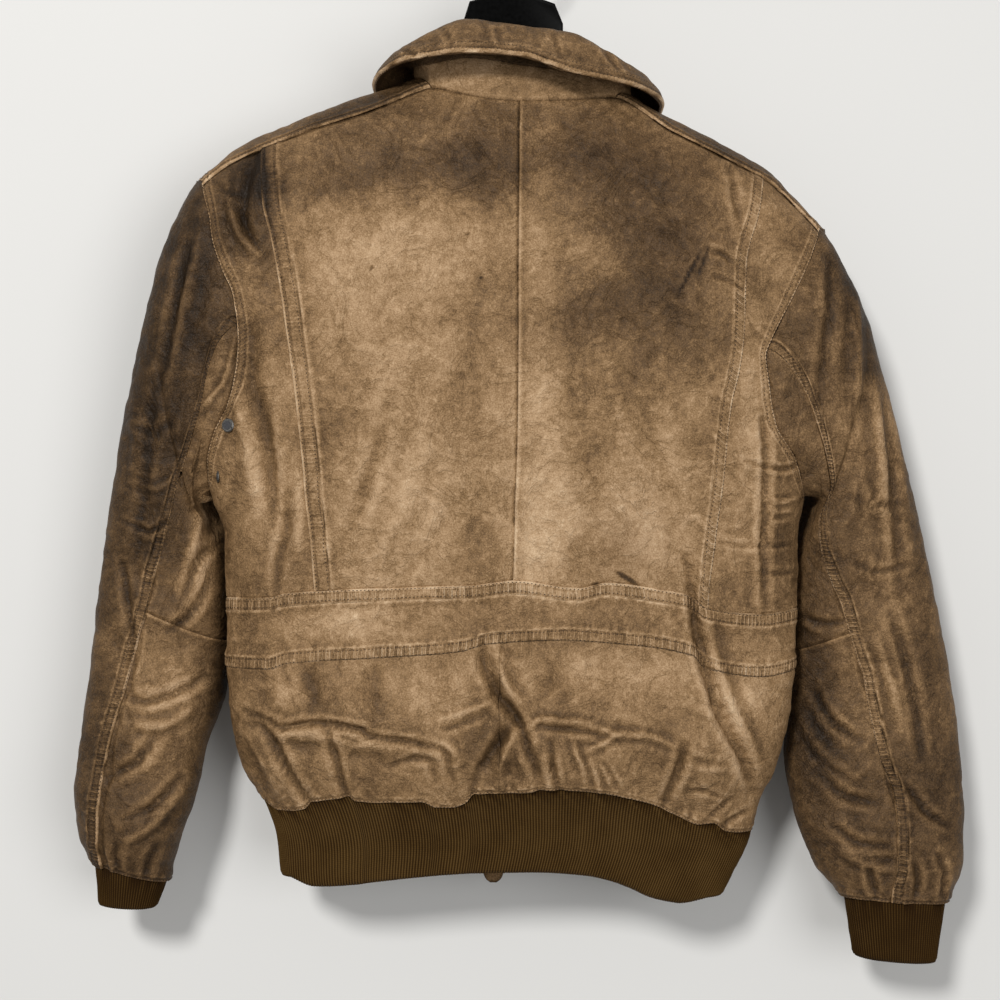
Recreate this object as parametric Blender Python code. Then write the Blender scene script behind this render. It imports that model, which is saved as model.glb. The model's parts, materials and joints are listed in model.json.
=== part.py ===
"""A worn leather flight jacket with knitted cuffs and hem, hung on a plastic hanger.

The jacket's back faces -Y and the hanger's hook holds it at the origin, with +Z up. Left and right are the
wearer's, so the left sleeve is on -X. Every table and size below is in millimetres, and the meshes are in metres.

The cloth is made as sheets. A sheet is a grid of points over the garment's true outer form. Panels are cut out of
a sheet along its seams and given the wall thickness inwards.
"""

import math

import bmesh
import bpy
import numpy as np
from mathutils import Vector
from mathutils.bvhtree import BVHTree

MM = 0.001

# ----------------------------------------------------------------------------------------------------
# Driving sizes
# ----------------------------------------------------------------------------------------------------

LEATHER = 2.0           # wall of the leather with its turned seams
RIB = 3.0               # wall of the double knitted rib
SEAM_GAP = 0.3          # between two pieces at a seam
PLEAT_TUCK = 9.0        # how far a side panel runs on under the back at its pleat
SIDE_POWER = 2.8        # how squarely the torso's section turns at its sides
ROLL = 70.0             # height over which the shoulder rolls from front to back
ZIP_HALF = 4.0          # from the middle of the front to the leather's edge
SEARCH_STEPS = 30       # steps of the searches for where two curves meet
SUNK = 0.5              # how far a piece runs into the one that it is joined to
CUT_PAST = 2.0          # how far a cutter runs past the piece that it cuts

# Height, left edge, right edge, depth of the back, depth of the front. Above the armhole's foot the edges are
# those of the form that the armhole is cut from.
TORSO = (
    (-838.0, -194.0, 174.0, 36.0, 30.0),
    (-814.0, -198.0, 186.0, 38.0, 31.0),
    (-790.0, -200.0, 197.0, 40.0, 32.0),
    (-755.0, -211.0, 207.0, 48.0, 35.0),
    (-730.0, -228.0, 219.0, 59.0, 42.0),
    (-704.0, -236.0, 227.0, 65.0, 46.0),
    (-671.0, -241.0, 234.0, 62.0, 46.0),
    (-637.0, -243.0, 237.0, 55.0, 43.0),
    (-586.0, -243.0, 238.0, 53.0, 42.0),
    (-530.0, -244.0, 239.0, 55.0, 42.0),
    (-505.0, -253.0, 243.0, 56.0, 42.0),
    (-480.0, -260.0, 246.0, 57.0, 42.0),
    (-440.0, -272.0, 256.0, 58.0, 42.0),
    (-371.0, -285.0, 270.0, 57.0, 41.0),
    (-320.0, -295.0, 284.0, 54.0, 40.0),
    (-280.0, -305.0, 298.0, 50.0, 38.0),
    (-235.0, -315.0, 308.0, 44.0, 35.0),
    (-150.0, -325.0, 318.0, 36.0, 31.0),
)

# Across, height of the shoulders' top line. Between the neck's sides it is only the form's.
RIDGE = (
    (-275.0, -238.0), (-262.0, -226.0), (-248.0, -214.0), (-223.0, -197.0), (-204.0, -189.0), (-182.0, -180.0),
    (-140.0, -163.0), (-97.0, -150.0), (-71.0, -141.0), (0.0, -126.0), (70.0, -140.0), (100.0, -160.0),
    (119.0, -172.0), (153.0, -188.0), (184.0, -205.0), (214.0, -223.0), (239.0, -248.0), (262.0, -274.0),
    (278.0, -292.0),
)

# Across, height of the lines that cross the back, from the hem up.
HEM_LINE = (
    (-216.0, -752.0), (-150.0, -748.0), (-60.0, -749.0), (0.0, -740.0), (80.0, -741.0), (120.0, -752.0),
    (160.0, -770.0), (205.0, -782.0),
)
BELT_FOOT = (
    (-243.0, -639.0), (-203.0, -639.0), (-188.0, -634.0), (-120.0, -629.0), (-44.0, -623.0), (-21.0, -617.0),
    (34.0, -614.0), (98.0, -618.0), (146.0, -627.0), (158.0, -637.0), (176.0, -642.0), (207.0, -645.0),
    (238.0, -640.0),
)
BELT_HEAD = (
    (-243.0, -586.0), (-203.0, -585.0), (-188.0, -581.0), (-98.0, -576.0), (-37.0, -574.0), (0.0, -570.0),
    (53.0, -576.0), (75.0, -572.0), (121.0, -578.0), (144.0, -583.0), (157.0, -593.0), (207.0, -599.0),
    (238.0, -595.0),
)
ARMHOLE_FOOT = ((-253.0, -505.0), (243.0, -500.0))
TOP_LINE = (
    (-262.0, -239.0), (-250.0, -227.0), (-230.0, -217.0), (-211.0, -208.0), (-181.0, -196.0), (-129.0, -180.0),
    (-96.0, -167.0), (-70.0, -157.0), (-46.0, -162.0), (-21.0, -167.0), (4.0, -169.0), (38.0, -168.0),
    (71.0, -166.0), (85.0, -165.0), (130.0, -193.0), (162.0, -209.0), (195.0, -226.0), (212.0, -235.0),
    (234.0, -255.0), (255.0, -277.0),
)
BACK_LINES = (HEM_LINE, BELT_FOOT, BELT_HEAD, ARMHOLE_FOOT, TOP_LINE)

# Height, across, of the seams that run up the back.
LEFT_PLEAT = (
    (-770.0, -170.0), (-640.0, -165.0), (-581.0, -163.0), (-543.0, -166.0), (-502.0, -170.0), (-461.0, -174.0),
    (-420.0, -179.0), (-378.0, -185.0), (-337.0, -191.0), (-288.0, -200.0), (-255.0, -208.0), (-208.0, -211.0),
)
CENTRE_BACK = (
    (-770.0, -13.0), (-633.0, -13.0), (-612.0, -8.0), (-570.0, -2.0), (-502.0, 0.0), (-436.0, 2.0),
    (-256.0, 3.0), (-169.0, 4.0),
)
RIGHT_PLEAT = (
    (-790.0, 160.0), (-592.0, 157.0), (-535.0, 163.0), (-485.0, 170.0), (-420.0, 178.0), (-396.0, 184.0),
    (-368.0, 188.0), (-306.0, 190.0), (-290.0, 193.0), (-265.0, 201.0), (-232.0, 207.0),
)

# Height, across, of the back edge of each armhole above its foot.
LEFT_ARMHOLE = (
    (-505.0, -253.0), (-493.0, -257.0), (-472.0, -257.0), (-455.0, -253.0), (-438.0, -246.0), (-423.0, -238.0),
    (-409.0, -232.0), (-373.0, -228.5), (-332.0, -233.5), (-312.0, -242.0), (-286.0, -251.0), (-266.0, -254.0),
    (-239.0, -262.0),
)
RIGHT_ARMHOLE = (
    (-500.0, 243.0), (-472.0, 236.0), (-439.0, 216.0), (-406.0, 210.0), (-383.0, 207.0), (-369.0, 212.0),
    (-349.0, 222.0), (-324.0, 234.6), (-300.0, 246.0), (-277.0, 255.0),
)
FRONT_ARMHOLE_CUT = 9.0     # how much further in the front edge of an armhole lies at its middle

# The places of the neck's two corners, as parts of the way from one seam to the next.
LEFT_NECK = 1.0 + (-70.0 + 211.0) / (4.0 + 211.0)
RIGHT_NECK = 2.0 + (85.0 - 4.0) / (207.0 - 4.0)

# Part of the way over the shoulder, edge at the armhole, edge at the neck. The rest of the armhole's edge at the
# start comes from the front.
LEFT_OVER = ((0.18, -42.0), (0.38, -66.0), (0.70, -84.0), (1.00, -70.0))
RIGHT_OVER = ((0.18, 46.0), (0.38, 76.0), (0.70, 99.0), (1.00, 85.0))
TIP_AT_RIDGE = {"left": -268.0, "right": 262.0}

# Heights of the front's lines at its middle, from the hem up to the armhole's foot.
FRONT_MIDDLE = (-752.0, -637.0, -583.0, -500.0)

# Broad folds: start across and up, end across and up, width, depth out of the cloth.
BACK_FOLDS = (
    (150.0, -592.0, 200.0, -742.0, 26.0, -5.0),
    (128.0, -640.0, 168.0, -745.0, 24.0, 4.0),
    (-10.0, -655.0, -22.0, -735.0, 24.0, -6.0),
    (30.0, -660.0, 44.0, -735.0, 26.0, 4.0),
    (-205.0, -690.0, -60.0, -724.0, 24.0, -4.0),
    (-200.0, -662.0, -70.0, -690.0, 26.0, 3.0),
    (-222.0, -420.0, -188.0, -520.0, 22.0, -4.0),
    (206.0, -400.0, 232.0, -480.0, 22.0, -4.0),
    (-120.0, -470.0, -60.0, -560.0, 40.0, 2.5),
    (60.0, -430.0, 120.0, -540.0, 45.0, -2.5),
)
FRONT_FOLDS = (
    (-205.0, -420.0, -150.0, -520.0, 26.0, -5.0),
    (200.0, -430.0, 150.0, -540.0, 26.0, -5.0),
    (-190.0, -640.0, -60.0, -712.0, 26.0, -4.0),
    (185.0, -650.0, 70.0, -720.0, 26.0, -4.0),
    (-120.0, -300.0, -80.0, -470.0, 38.0, 3.0),
    (110.0, -320.0, 80.0, -480.0, 38.0, 3.0),
)

# Rib at the hem: height of its foot on the back and on the front, across.
RIB_FOOT_BACK = (
    (-198.0, -818.0), (-177.0, -824.0), (-124.0, -819.0), (-79.0, -814.0), (-35.0, -811.0), (17.0, -810.0),
    (69.0, -813.0), (91.0, -817.0), (113.0, -824.0), (133.0, -832.0), (150.0, -836.0), (164.0, -838.0),
    (185.0, -835.0),
)
RIB_FOOT_FRONT = ((-198.0, -818.0), (-95.0, -819.0), (0.0, -816.0), (95.0, -822.0), (185.0, -835.0))

# Sleeves: part of the way down, outer edge across and up, inner edge across and up, middle forward, depth of
# the back, depth of the front, angle of the back seam and of the front seam from the outer edge, and how far the
# front leans towards the torso for each millimetre forward.
LEFT_SLEEVE = (
    (0.00, -268.0, -228.0, -257.0, -503.0, -2.0, 40.0, 37.0, 78.0, 84.0, 0.00),
    (0.06, -284.0, -247.0, -266.0, -505.0, 3.0, 40.0, 37.0, 88.0, 86.0, 0.08),
    (0.14, -299.0, -294.0, -264.0, -516.0, 10.0, 41.0, 38.0, 98.0, 90.0, 0.20),
    (0.24, -315.0, -362.0, -252.0, -538.0, 17.0, 41.0, 38.0, 101.0, 92.0, 0.28),
    (0.34, -330.0, -432.0, -244.0, -564.0, 20.0, 41.0, 38.0, 96.0, 95.0, 0.30),
    (0.44, -342.0, -500.0, -242.0, -592.0, 22.0, 40.0, 37.0, 84.0, 98.0, 0.30),
    (0.55, -352.0, -574.0, -243.0, -624.0, 22.0, 40.0, 36.0, 72.0, 100.0, 0.28),
    (0.66, -361.0, -645.0, -250.0, -668.0, 20.0, 40.0, 36.0, 62.0, 102.0, 0.22),
    (0.77, -369.0, -705.0, -264.0, -712.0, 15.0, 39.0, 35.0, 51.0, 104.0, 0.10),
    (0.86, -374.0, -750.0, -272.0, -752.0, 10.0, 38.0, 34.0, 48.0, 104.0, 0.05),
    (0.94, -370.0, -786.0, -284.0, -790.0, 8.0, 34.0, 31.0, 46.0, 104.0, 0.00),
    (1.00, -358.0, -809.0, -294.0, -826.0, 8.0, 24.0, 23.0, 36.0, 104.0, 0.00),
)
RIGHT_SLEEVE = (
    (0.00, 262.0, -267.0, 247.0, -498.0, -2.0, 40.0, 37.0, 80.0, 84.0, 0.00),
    (0.06, 278.0, -296.0, 256.0, -501.0, 3.0, 40.0, 37.0, 92.0, 86.0, 0.08),
    (0.14, 295.0, -338.0, 254.0, -512.0, 11.0, 41.0, 38.0, 106.0, 90.0, 0.18),
    (0.24, 311.0, -390.0, 244.0, -534.0, 18.0, 41.0, 37.0, 117.0, 92.0, 0.22),
    (0.34, 327.0, -450.0, 238.0, -562.0, 21.0, 40.0, 36.0, 121.0, 95.0, 0.22),
    (0.44, 343.0, -510.0, 236.0, -594.0, 23.0, 38.0, 34.0, 116.0, 98.0, 0.20),
    (0.55, 359.0, -582.0, 236.0, -632.0, 24.0, 36.0, 33.0, 106.0, 100.0, 0.18),
    (0.66, 373.0, -650.0, 235.0, -680.0, 24.0, 35.0, 32.0, 94.0, 104.0, 0.16),
    (0.77, 381.0, -712.0, 232.0, -724.0, 20.0, 34.0, 31.0, 82.0, 108.0, 0.08),
    (0.86, 384.0, -764.0, 240.0, -768.0, 15.0, 33.0, 30.0, 74.0, 108.0, 0.00),
    (0.94, 383.0, -808.0, 256.0, -812.0, 11.0, 30.0, 28.0, 76.0, 104.0, 0.00),
    (1.00, 369.0, -844.0, 279.0, -838.0, 9.0, 23.0, 22.0, 84.0, 100.0, 0.00),
)
SLEEVE_POWER = 2.3      # how squarely a sleeve's section turns
ARMHOLE_BLEND = 0.16    # part of the sleeve over which it takes its own section from the armhole's
STATION_BLEND = 0.40    # part of the sleeve over which its stations even out round the ring
ARMHOLE_GAP = 1.0       # from the armhole's edge to the sleeve, whose wall turns sharply under the arm
UNDERARM_PUSH = 7.0     # how far the under side of a sleeve stands off the torso just below the armhole
ELBOW = {"left": 0.600, "right": 0.605}

# Sleeve folds: part of the way down at the start and the end, angle at the start and the end, width down the
# sleeve, depth out of the cloth.
SLEEVE_FOLDS = (
    (0.16, 0.22, 60.0, 150.0, 0.030, -4.0),
    (0.30, 0.36, 40.0, 140.0, 0.035, 3.0),
    (0.52, 0.47, 30.0, 130.0, 0.030, -4.0),
    (0.60, 0.66, 50.0, 160.0, 0.030, -4.0),
    (0.80, 0.84, 20.0, 150.0, 0.030, -3.5),
    (0.48, 0.52, 210.0, 330.0, 0.030, -4.0),
    (0.63, 0.60, 220.0, 320.0, 0.030, -4.0),
    (0.82, 0.80, 200.0, 320.0, 0.030, -3.5),
)

# Cuffs: outer edge across and up, inner edge across and up, middle forward, depth of the back, depth of the
# front and lean of their foot.
CUFF_FOOT = {
    "left": (-354.0, -845.0, -305.0, -848.0, 8.0, 20.0, 19.0, 0.0),
    "right": (359.0, -894.0, 289.0, -889.0, 8.0, 21.0, 20.0, 0.0),
}

# Collar sections round the neck, from the middle of the front on the left to the middle of the front on the
# right: place round the neck, then across, forward and up of the stand's top, of the roll and of the edge.
COLLAR = (
    (0.00, -5.0, 40.0, -180.0, -8.0, 48.0, -168.0, -14.0, 58.0, -214.0),
    (0.10, -49.0, 35.0, -154.0, -54.0, 43.0, -144.0, -74.0, 57.0, -234.0),
    (0.20, -76.0, 18.0, -137.0, -85.0, 24.0, -131.0, -106.0, 41.0, -184.0),
    (0.30, -86.0, 1.0, -135.0, -97.0, 3.0, -130.0, -119.0, 5.0, -151.0),
    (0.40, -73.0, -26.0, -139.0, -77.0, -32.0, -123.0, -97.0, -46.0, -143.0),
    (0.45, -38.0, -30.0, -134.0, -40.0, -35.0, -107.0, -44.0, -62.0, -138.0),
    (0.50, 4.0, -31.0, -140.0, 4.0, -37.0, -112.0, 3.0, -64.0, -141.0),
    (0.55, 44.0, -30.0, -145.0, 46.0, -37.0, -119.0, 48.0, -64.0, -155.0),
    (0.60, 85.0, -27.0, -152.0, 88.0, -32.0, -142.0, 103.0, -45.0, -163.0),
    (0.70, 99.0, 2.0, -148.0, 106.0, 4.0, -147.0, 125.0, 4.0, -168.0),
    (0.80, 89.0, 20.0, -145.0, 96.0, 26.0, -141.0, 116.0, 41.0, -190.0),
    (0.90, 58.0, 34.0, -154.0, 64.0, 43.0, -146.0, 82.0, 57.0, -236.0),
    (1.00, 5.0, 40.0, -180.0, 8.0, 48.0, -168.0, 14.0, 58.0, -214.0),
)
COLLAR_LAYER = 1.6      # wall of the leaf's upper and under layers
COLLAR_FOOT = 0.6       # from the neck's edge to the stand, which leans out over the shoulders
LEAF_ROWS = 8
ROLL_LIMITS = (0.22, 0.50)      # parts of the way down the leaf between which its roll lies

# Zip, at the middle of the front: depths are below the leather's outer face.
TAPE = 0.8
TAPE_HALF = 14.0
TAPE_DEPTH = 3.4
TEETH_HALF = 3.0
TEETH_PROUD = 0.3
ZIP_HEAD = -212.0               # height of the slider's middle
SLIDER = (9.0, 3.0, 12.0)       # across, forward, up
ARCH_HOLE = (2.6, 3.2)          # forward, up
ARCH_WALL = 1.4
ARCH_WIDTH = 1.6
PULL_WIDE = 7.0
PULL_LONG = 28.0
PULL_THICK = 1.4
PULL_SLOT = (3.4, 4.8)          # across, up

# Wind flap: a strip on the inside of the zip, sewn off centre. Its end is height, half width from the foot up.
FLAP_MIDDLE = -18.0
FLAP_HALF = 24.0
FLAP_DEPTH = 4.9
FLAP_WALL = 1.8
FLAP_TAPER_TOP = -790.0
FLAP_END = ((-831.0, 2.6), (-828.5, 6.2), (-824.0, 8.4), (-816.0, 10.5), (FLAP_TAPER_TOP, FLAP_HALF))

# Eyelets: name, panel, across, up, and where the line of sight along Y starts.
EYELETS = (
    ("eyelet_left_upper", "back_side_left", -237.0, -440.0, -200.0),
    ("eyelet_left_lower", "back_side_left", -247.0, -482.0, -200.0),
    ("eyelet_right_upper", "front_right", 188.0, -436.0, 200.0),
    ("eyelet_right_lower", "front_right", 197.0, -470.0, 200.0),
)
EYELET_SEAT = 0.5           # between an eyelet's flange and the leather
EYELET_PROFILE = ((2.4, 0.0), (5.8, 0.0), (5.8, 0.4), (5.0, 1.1), (3.2, 1.1), (2.4, 0.6))

# Hanger: the plate is across, up.
HANGER_HALF = 212.0             # reach of each arm
HANGER_SEAT = 0.70              # between the arms and the leather that lies on them
ARM_STATION = 4.7               # where along the fronts the arms lie, just short of the shoulder's top
ARM_NOSE = 7.0                  # how far a tapered tip runs on, out and down
ARM_TALL = 8.0
ARM_WIDE = 6.0
HANGER_MIDDLE = ((-60.0, -139.0), (-32.0, -124.0), (0.0, -119.0), (34.0, -124.0), (66.0, -141.0))
PLATE_TOP = -60.0
PLATE = ((-43.0, -150.0), (41.0, -150.0), (41.0, -99.0), (34.0, -82.0), (17.0, -76.0), (14.0, PLATE_TOP),
         (-18.0, PLATE_TOP), (-22.0, -76.0), (-38.0, -80.0), (-44.0, -99.0))
PLATE_HALF = 4.5
PLATE_RIM = 3.0
PLATE_SUNK = 1.0
HOOK_WIRE = 2.0
HOOK_INNER = 20.0
HOOK_FOOT = -74.0
HOOK_ARC = (-50.0, 205.0)
HOOK_STEPS = 24

# Stations of the cloth's grids.
BACK_ACROSS = ((0.0, 1.0, 4), (1.0, LEFT_NECK, 4), (LEFT_NECK, 2.0, 2), (2.0, RIGHT_NECK, 2),
               (RIGHT_NECK, 3.0, 4), (3.0, 4.0, 4))
BODY_UP = ((0.0, 1.0, 4), (1.0, 2.0, 2), (2.0, 3.0, 3))
ARMHOLE_BACK_UP = ((3.0, 4.0, 9),)
ARMHOLE_FRONT_UP = ((3.0, 4.0, 5), (4.0, 5.0, 7))
ABOVE_ELBOW = 9
BELOW_ELBOW = 6
RIB_DOWN = 3
BACK_SEAM_STATION = 5       # armhole stations up from its foot to the sleeve's back seam
FRONT_SEAM_STATION = 3      # the same on the front

COLOURS = {
    "leather": (0.300, 0.205, 0.125),
    "leather dark": (0.110, 0.066, 0.034),
    "leather light": (0.360, 0.245, 0.150),
    "rib": (0.052, 0.029, 0.011),
    "hanger": (0.008, 0.008, 0.009),
    "steel": (0.560, 0.560, 0.570),
    "brass": (0.400, 0.290, 0.120),
    "tape": (0.060, 0.036, 0.018),
}


# ----------------------------------------------------------------------------------------------------
# Small mathematics
# ----------------------------------------------------------------------------------------------------

def stations(spans):
    """The stations of several spans end to end, each given as start, end and number of steps."""
    out = [spans[0][0]]
    for start, end, steps in spans:
        out.extend(np.linspace(start, end, steps + 1)[1:])
    return np.array(out)


def smooth(points, x, column=1):
    """A smooth curve through a table's first column and another one, flat beyond both ends."""
    table = np.array(points, dtype=float)
    xs = table[:, 0]
    ys = table[:, column]
    step = np.diff(xs)
    slope = np.diff(ys) / step
    tangent = np.concatenate([slope[:1], np.zeros(len(xs) - 2), slope[-1:]])
    for i in range(1, len(xs) - 1):
        if slope[i - 1] * slope[i] > 0.0:
            before = 2.0 * step[i] + step[i - 1]
            after = step[i] + 2.0 * step[i - 1]
            tangent[i] = (before + after) / (before / slope[i - 1] + after / slope[i])
    x = np.clip(x, xs[0], xs[-1])
    i = np.clip(np.searchsorted(xs, x, side="right") - 1, 0, len(step) - 1)
    t = (x - xs[i]) / step[i]
    start = (1.0 + 2.0 * t) * (1.0 - t) ** 2 * ys[i] + t * (1.0 - t) ** 2 * step[i] * tangent[i]
    end = t * t * (3.0 - 2.0 * t) * ys[i + 1] + t * t * (t - 1.0) * step[i] * tangent[i + 1]
    return start + end


def lerp(a, b, t):
    return a + (b - a) * t


def ramp(t):
    t = np.clip(t, 0.0, 1.0)
    return t * t * (3.0 - 2.0 * t)


def unit(vectors):
    return vectors / np.maximum(np.linalg.norm(vectors, axis=-1, keepdims=True), 1e-9)


# ----------------------------------------------------------------------------------------------------
# The torso's form
# ----------------------------------------------------------------------------------------------------

def across_form(x, z):
    """Where x lies across the form at a height, from -1 at its left edge to 1 at its right edge."""
    left = smooth(TORSO, z, 1)
    right = smooth(TORSO, z, 2)
    return np.clip((2.0 * x - left - right) / (right - left), -1.0, 1.0)


def side_fill(x, z):
    return (1.0 - np.abs(across_form(x, z)) ** SIDE_POWER) ** (1.0 / SIDE_POWER)


def turn(x, z):
    """The angle round the form's section, from 0 at its left edge to 180 degrees at its right edge."""
    place = across_form(x, z)
    return np.arccos(-np.sign(place) * np.abs(place) ** (SIDE_POWER / 2.0))


def at_turn(angle, z):
    left = smooth(TORSO, z, 1)
    right = smooth(TORSO, z, 2)
    cosine = np.cos(angle)
    place = -np.sign(cosine) * np.abs(cosine) ** (2.0 / SIDE_POWER)
    return (left + right) / 2.0 + place * (right - left) / 2.0


def roll_angle(x, z):
    """The angle down from the shoulder's top line: 0 on it, 90 degrees at and below the roll's foot."""
    rise = (z - smooth(RIDGE, x) + ROLL) / ROLL
    return np.arccos(np.clip(rise, 0.0, 1.0))


def folds(table, x, z):
    """Broad soft folds, each fading out at both ends."""
    total = np.zeros_like(x)
    for x0, z0, x1, z1, width, depth in table:
        length2 = (x1 - x0) ** 2 + (z1 - z0) ** 2
        along = ((x - x0) * (x1 - x0) + (z - z0) * (z1 - z0)) / length2
        near = np.clip(along, 0.0, 1.0)
        away2 = (x - lerp(x0, x1, near)) ** 2 + (z - lerp(z0, z1, near)) ** 2
        fade = np.sin(np.pi * np.clip(0.1 + 0.8 * along, 0.0, 1.0))
        total += depth * fade * np.exp(-away2 / (2.0 * (width / 2.0) ** 2))
    return total


def back_edge(side, z):
    """Across, of the back's outer edge: the form's own up to the armhole's foot, then the armhole's."""
    column, armhole = (1, LEFT_ARMHOLE) if side == "left" else (2, RIGHT_ARMHOLE)
    return np.where(z < armhole[0][0], smooth(TORSO, z, column), smooth(armhole, z))


def front_edge(side, z):
    armhole = LEFT_ARMHOLE if side == "left" else RIGHT_ARMHOLE
    inwards = 1.0 if side == "left" else -1.0
    part = np.clip((z - armhole[0][0]) / (armhole[-1][0] - armhole[0][0]), 0.0, 1.0)
    return back_edge(side, z) + inwards * FRONT_ARMHOLE_CUT * np.sin(np.pi * part)


def back_across(u, z):
    """Across, at a height, of a line that runs up the back. The seams are at 0, 1, 2, 3 and 4."""
    pleat = (smooth(LEFT_PLEAT, z), smooth(RIGHT_PLEAT, z))
    centre = smooth(CENTRE_BACK, z)
    left = at_turn(lerp(turn(back_edge("left", z), z), turn(pleat[0], z), np.clip(u, 0.0, 1.0)), z)
    right = at_turn(lerp(turn(pleat[1], z), turn(back_edge("right", z), z), np.clip(u - 3.0, 0.0, 1.0)), z)
    middle = np.where(u < 2.0, lerp(pleat[0], centre, u - 1.0), lerp(centre, pleat[1], u - 2.0))
    return np.where(u <= 1.0, left, np.where(u >= 3.0, right, middle))


def back_line(u, line):
    """Height at which a line up the back meets a line across it."""
    z = np.full_like(u, line[0][1])
    for _ in range(SEARCH_STEPS):
        z = lerp(z, smooth(line, back_across(u, z)), 0.6)
    return z


def back_sheet(u, v):
    """Points of the back, at lines up it (u) and across it (v), both numbered at the seams."""
    heights = np.stack([back_line(u, line) for line in BACK_LINES])
    low = np.clip(np.floor(v).astype(int), 0, len(BACK_LINES) - 2)
    rows, columns = np.indices(u.shape)
    z = lerp(heights[low, rows, columns], heights[low + 1, rows, columns], v - low)
    x = back_across(u, z)
    y = -smooth(TORSO, z, 3) * side_fill(x, z) * np.sin(roll_angle(x, z))
    y -= folds(BACK_FOLDS, x, z) * side_fill(x, z)
    return np.stack([x, y, z], axis=-1)


def front_across(side, s, z):
    """Across, at a height, of a line up a front: s is 0 at the side or armhole and 1 at the zip."""
    middle = -ZIP_HALF if side == "left" else ZIP_HALF
    return at_turn(lerp(turn(front_edge(side, z), z), turn(middle, z), s), z)


def roll_foot(side, s):
    """Height at which a line up a front begins to roll over the shoulder."""
    z = np.full_like(s, -300.0)
    for _ in range(SEARCH_STEPS):
        z = lerp(z, smooth(RIDGE, front_across(side, s, z)) - ROLL, 0.6)
    return z


def over_edge(start, ridge, end, over):
    """The armhole's edge across, on the way over the shoulder from the front."""
    rising = lerp(start, ridge, np.sin(np.pi / 2.0 * np.clip(over / 0.7, 0.0, 1.0)))
    return np.where(over < 0.7, rising, lerp(ridge, end, ramp((over - 0.7) / 0.3)))


def front_sheet(side, s, v, corner, neck_corner):
    """Points of one front: s from the side or armhole to the zip or neck, v up it and over the shoulder.

    corner and neck_corner are the ends of the shoulder seam, and s is measured along that seam.
    """
    edge_u = np.full_like(s, 0.0 if side == "left" else 4.0)
    levels = [lerp(back_line(edge_u, line), middle, ramp(s)) for line, middle in zip(BACK_LINES, FRONT_MIDDLE)]
    levels.append(roll_foot(side, s))
    heights = np.stack(levels)
    low = np.clip(np.floor(v).astype(int), 0, 3)
    rows, columns = np.indices(s.shape)
    z = lerp(heights[low, rows, columns], heights[low + 1, rows, columns], np.clip(v, 0.0, 4.0) - low)
    x = front_across(side, s, z)
    y = smooth(TORSO, z, 4) * side_fill(x, z) * np.sin(roll_angle(x, z))
    y += folds(FRONT_FOLDS, x, z) * side_fill(x, z)
    return np.where((v > 4.0)[..., None], over_shoulder(side, s, v, corner, neck_corner),
                    np.stack([x, y, z], axis=-1))


def over_shoulder(side, s, v, corner, neck_corner):
    """The top of a front, from where it begins to roll over the shoulder to the shoulder seam on the back."""
    over = np.clip(v - 4.0, 0.0, 1.0)
    zip_edge = -ZIP_HALF if side == "left" else ZIP_HALF
    foot_x = front_across(side, s, roll_foot(side, s))
    none = np.zeros_like(s)
    foot_edge = front_across(side, none, roll_foot(side, none))
    start = (foot_x - foot_edge) / (zip_edge - foot_edge)
    outer_x = over_edge(foot_edge, TIP_AT_RIDGE[side], corner[0], over)
    neck = ((0.0, zip_edge),) + (LEFT_OVER if side == "left" else RIGHT_OVER)
    inner_x = smooth(neck, over)
    seam_x = lerp(corner[0], neck_corner[0], s)
    angle = lerp(np.pi / 2.0, -roll_angle(seam_x, smooth(TOP_LINE, seam_x)), over)
    x = lerp(outer_x, inner_x, lerp(start, s, over))
    z = smooth(RIDGE, x) - ROLL * (1.0 - np.cos(angle))
    depth = np.where(angle > 0.0, smooth(TORSO, z, 4), smooth(TORSO, z, 3))
    return np.stack([x, depth * side_fill(x, z) * np.sin(angle), z], axis=-1)


# ----------------------------------------------------------------------------------------------------
# Sheets
# ----------------------------------------------------------------------------------------------------

def grid_normals(points, closed, outward):
    """Unit normals of a grid, turned to the side of the points that outward gives."""
    along = np.gradient(points, axis=0)
    if closed:
        ring = points[:, :-1]
        across = (np.roll(ring, -1, axis=1) - np.roll(ring, 1, axis=1)) / 2.0
        across = np.concatenate([across, across[:, :1]], axis=1)
        along[:, -1] = along[:, 0]
    else:
        across = np.gradient(points, axis=1)
    normals = unit(np.cross(across, along))
    agree = np.sum(normals * (points - outward(points)), axis=-1).mean()
    return normals if agree > 0.0 else -normals


def spine(points):
    """A line inside the torso below any of its points, for telling out from in."""
    inside = points.copy()
    inside[..., 0] = 0.0
    inside[..., 1] = 0.0
    inside[..., 2] -= 30.0
    return inside


def tube_spine(points):
    """The middle of each ring of a tube, once for each of the ring's points."""
    return np.repeat(points[:, :-1].mean(axis=1, keepdims=True), points.shape[1], axis=1)


def torso_sheets():
    up = stations(BODY_UP)
    across = stations(BACK_ACROSS)
    back_up = np.concatenate([up, stations(ARMHOLE_BACK_UP)[1:]])
    v, u = np.meshgrid(back_up, across, indexing="ij")
    back = back_sheet(u, v)
    top = back[-1]
    left_corner = top[0]
    left_neck = top[np.argmin(np.abs(across - LEFT_NECK))]
    right_corner = top[-1]
    right_neck = top[np.argmin(np.abs(across - RIGHT_NECK))]
    front_up = np.concatenate([up, stations(ARMHOLE_FRONT_UP)[1:]])
    left_seam = top[across <= LEFT_NECK + 1e-6, 0]
    right_seam = top[across >= RIGHT_NECK - 1e-6, 0][::-1]
    fronts = []
    for side, seam, corner, neck in (("left", left_seam, left_corner, left_neck),
                                     ("right", right_seam, right_corner, right_neck)):
        part = (seam - seam[0]) / (seam[-1] - seam[0])
        v, s = np.meshgrid(front_up, part, indexing="ij")
        fronts.append(front_sheet(side, s, v, corner, neck))
    return back, fronts[0], fronts[1]


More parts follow.
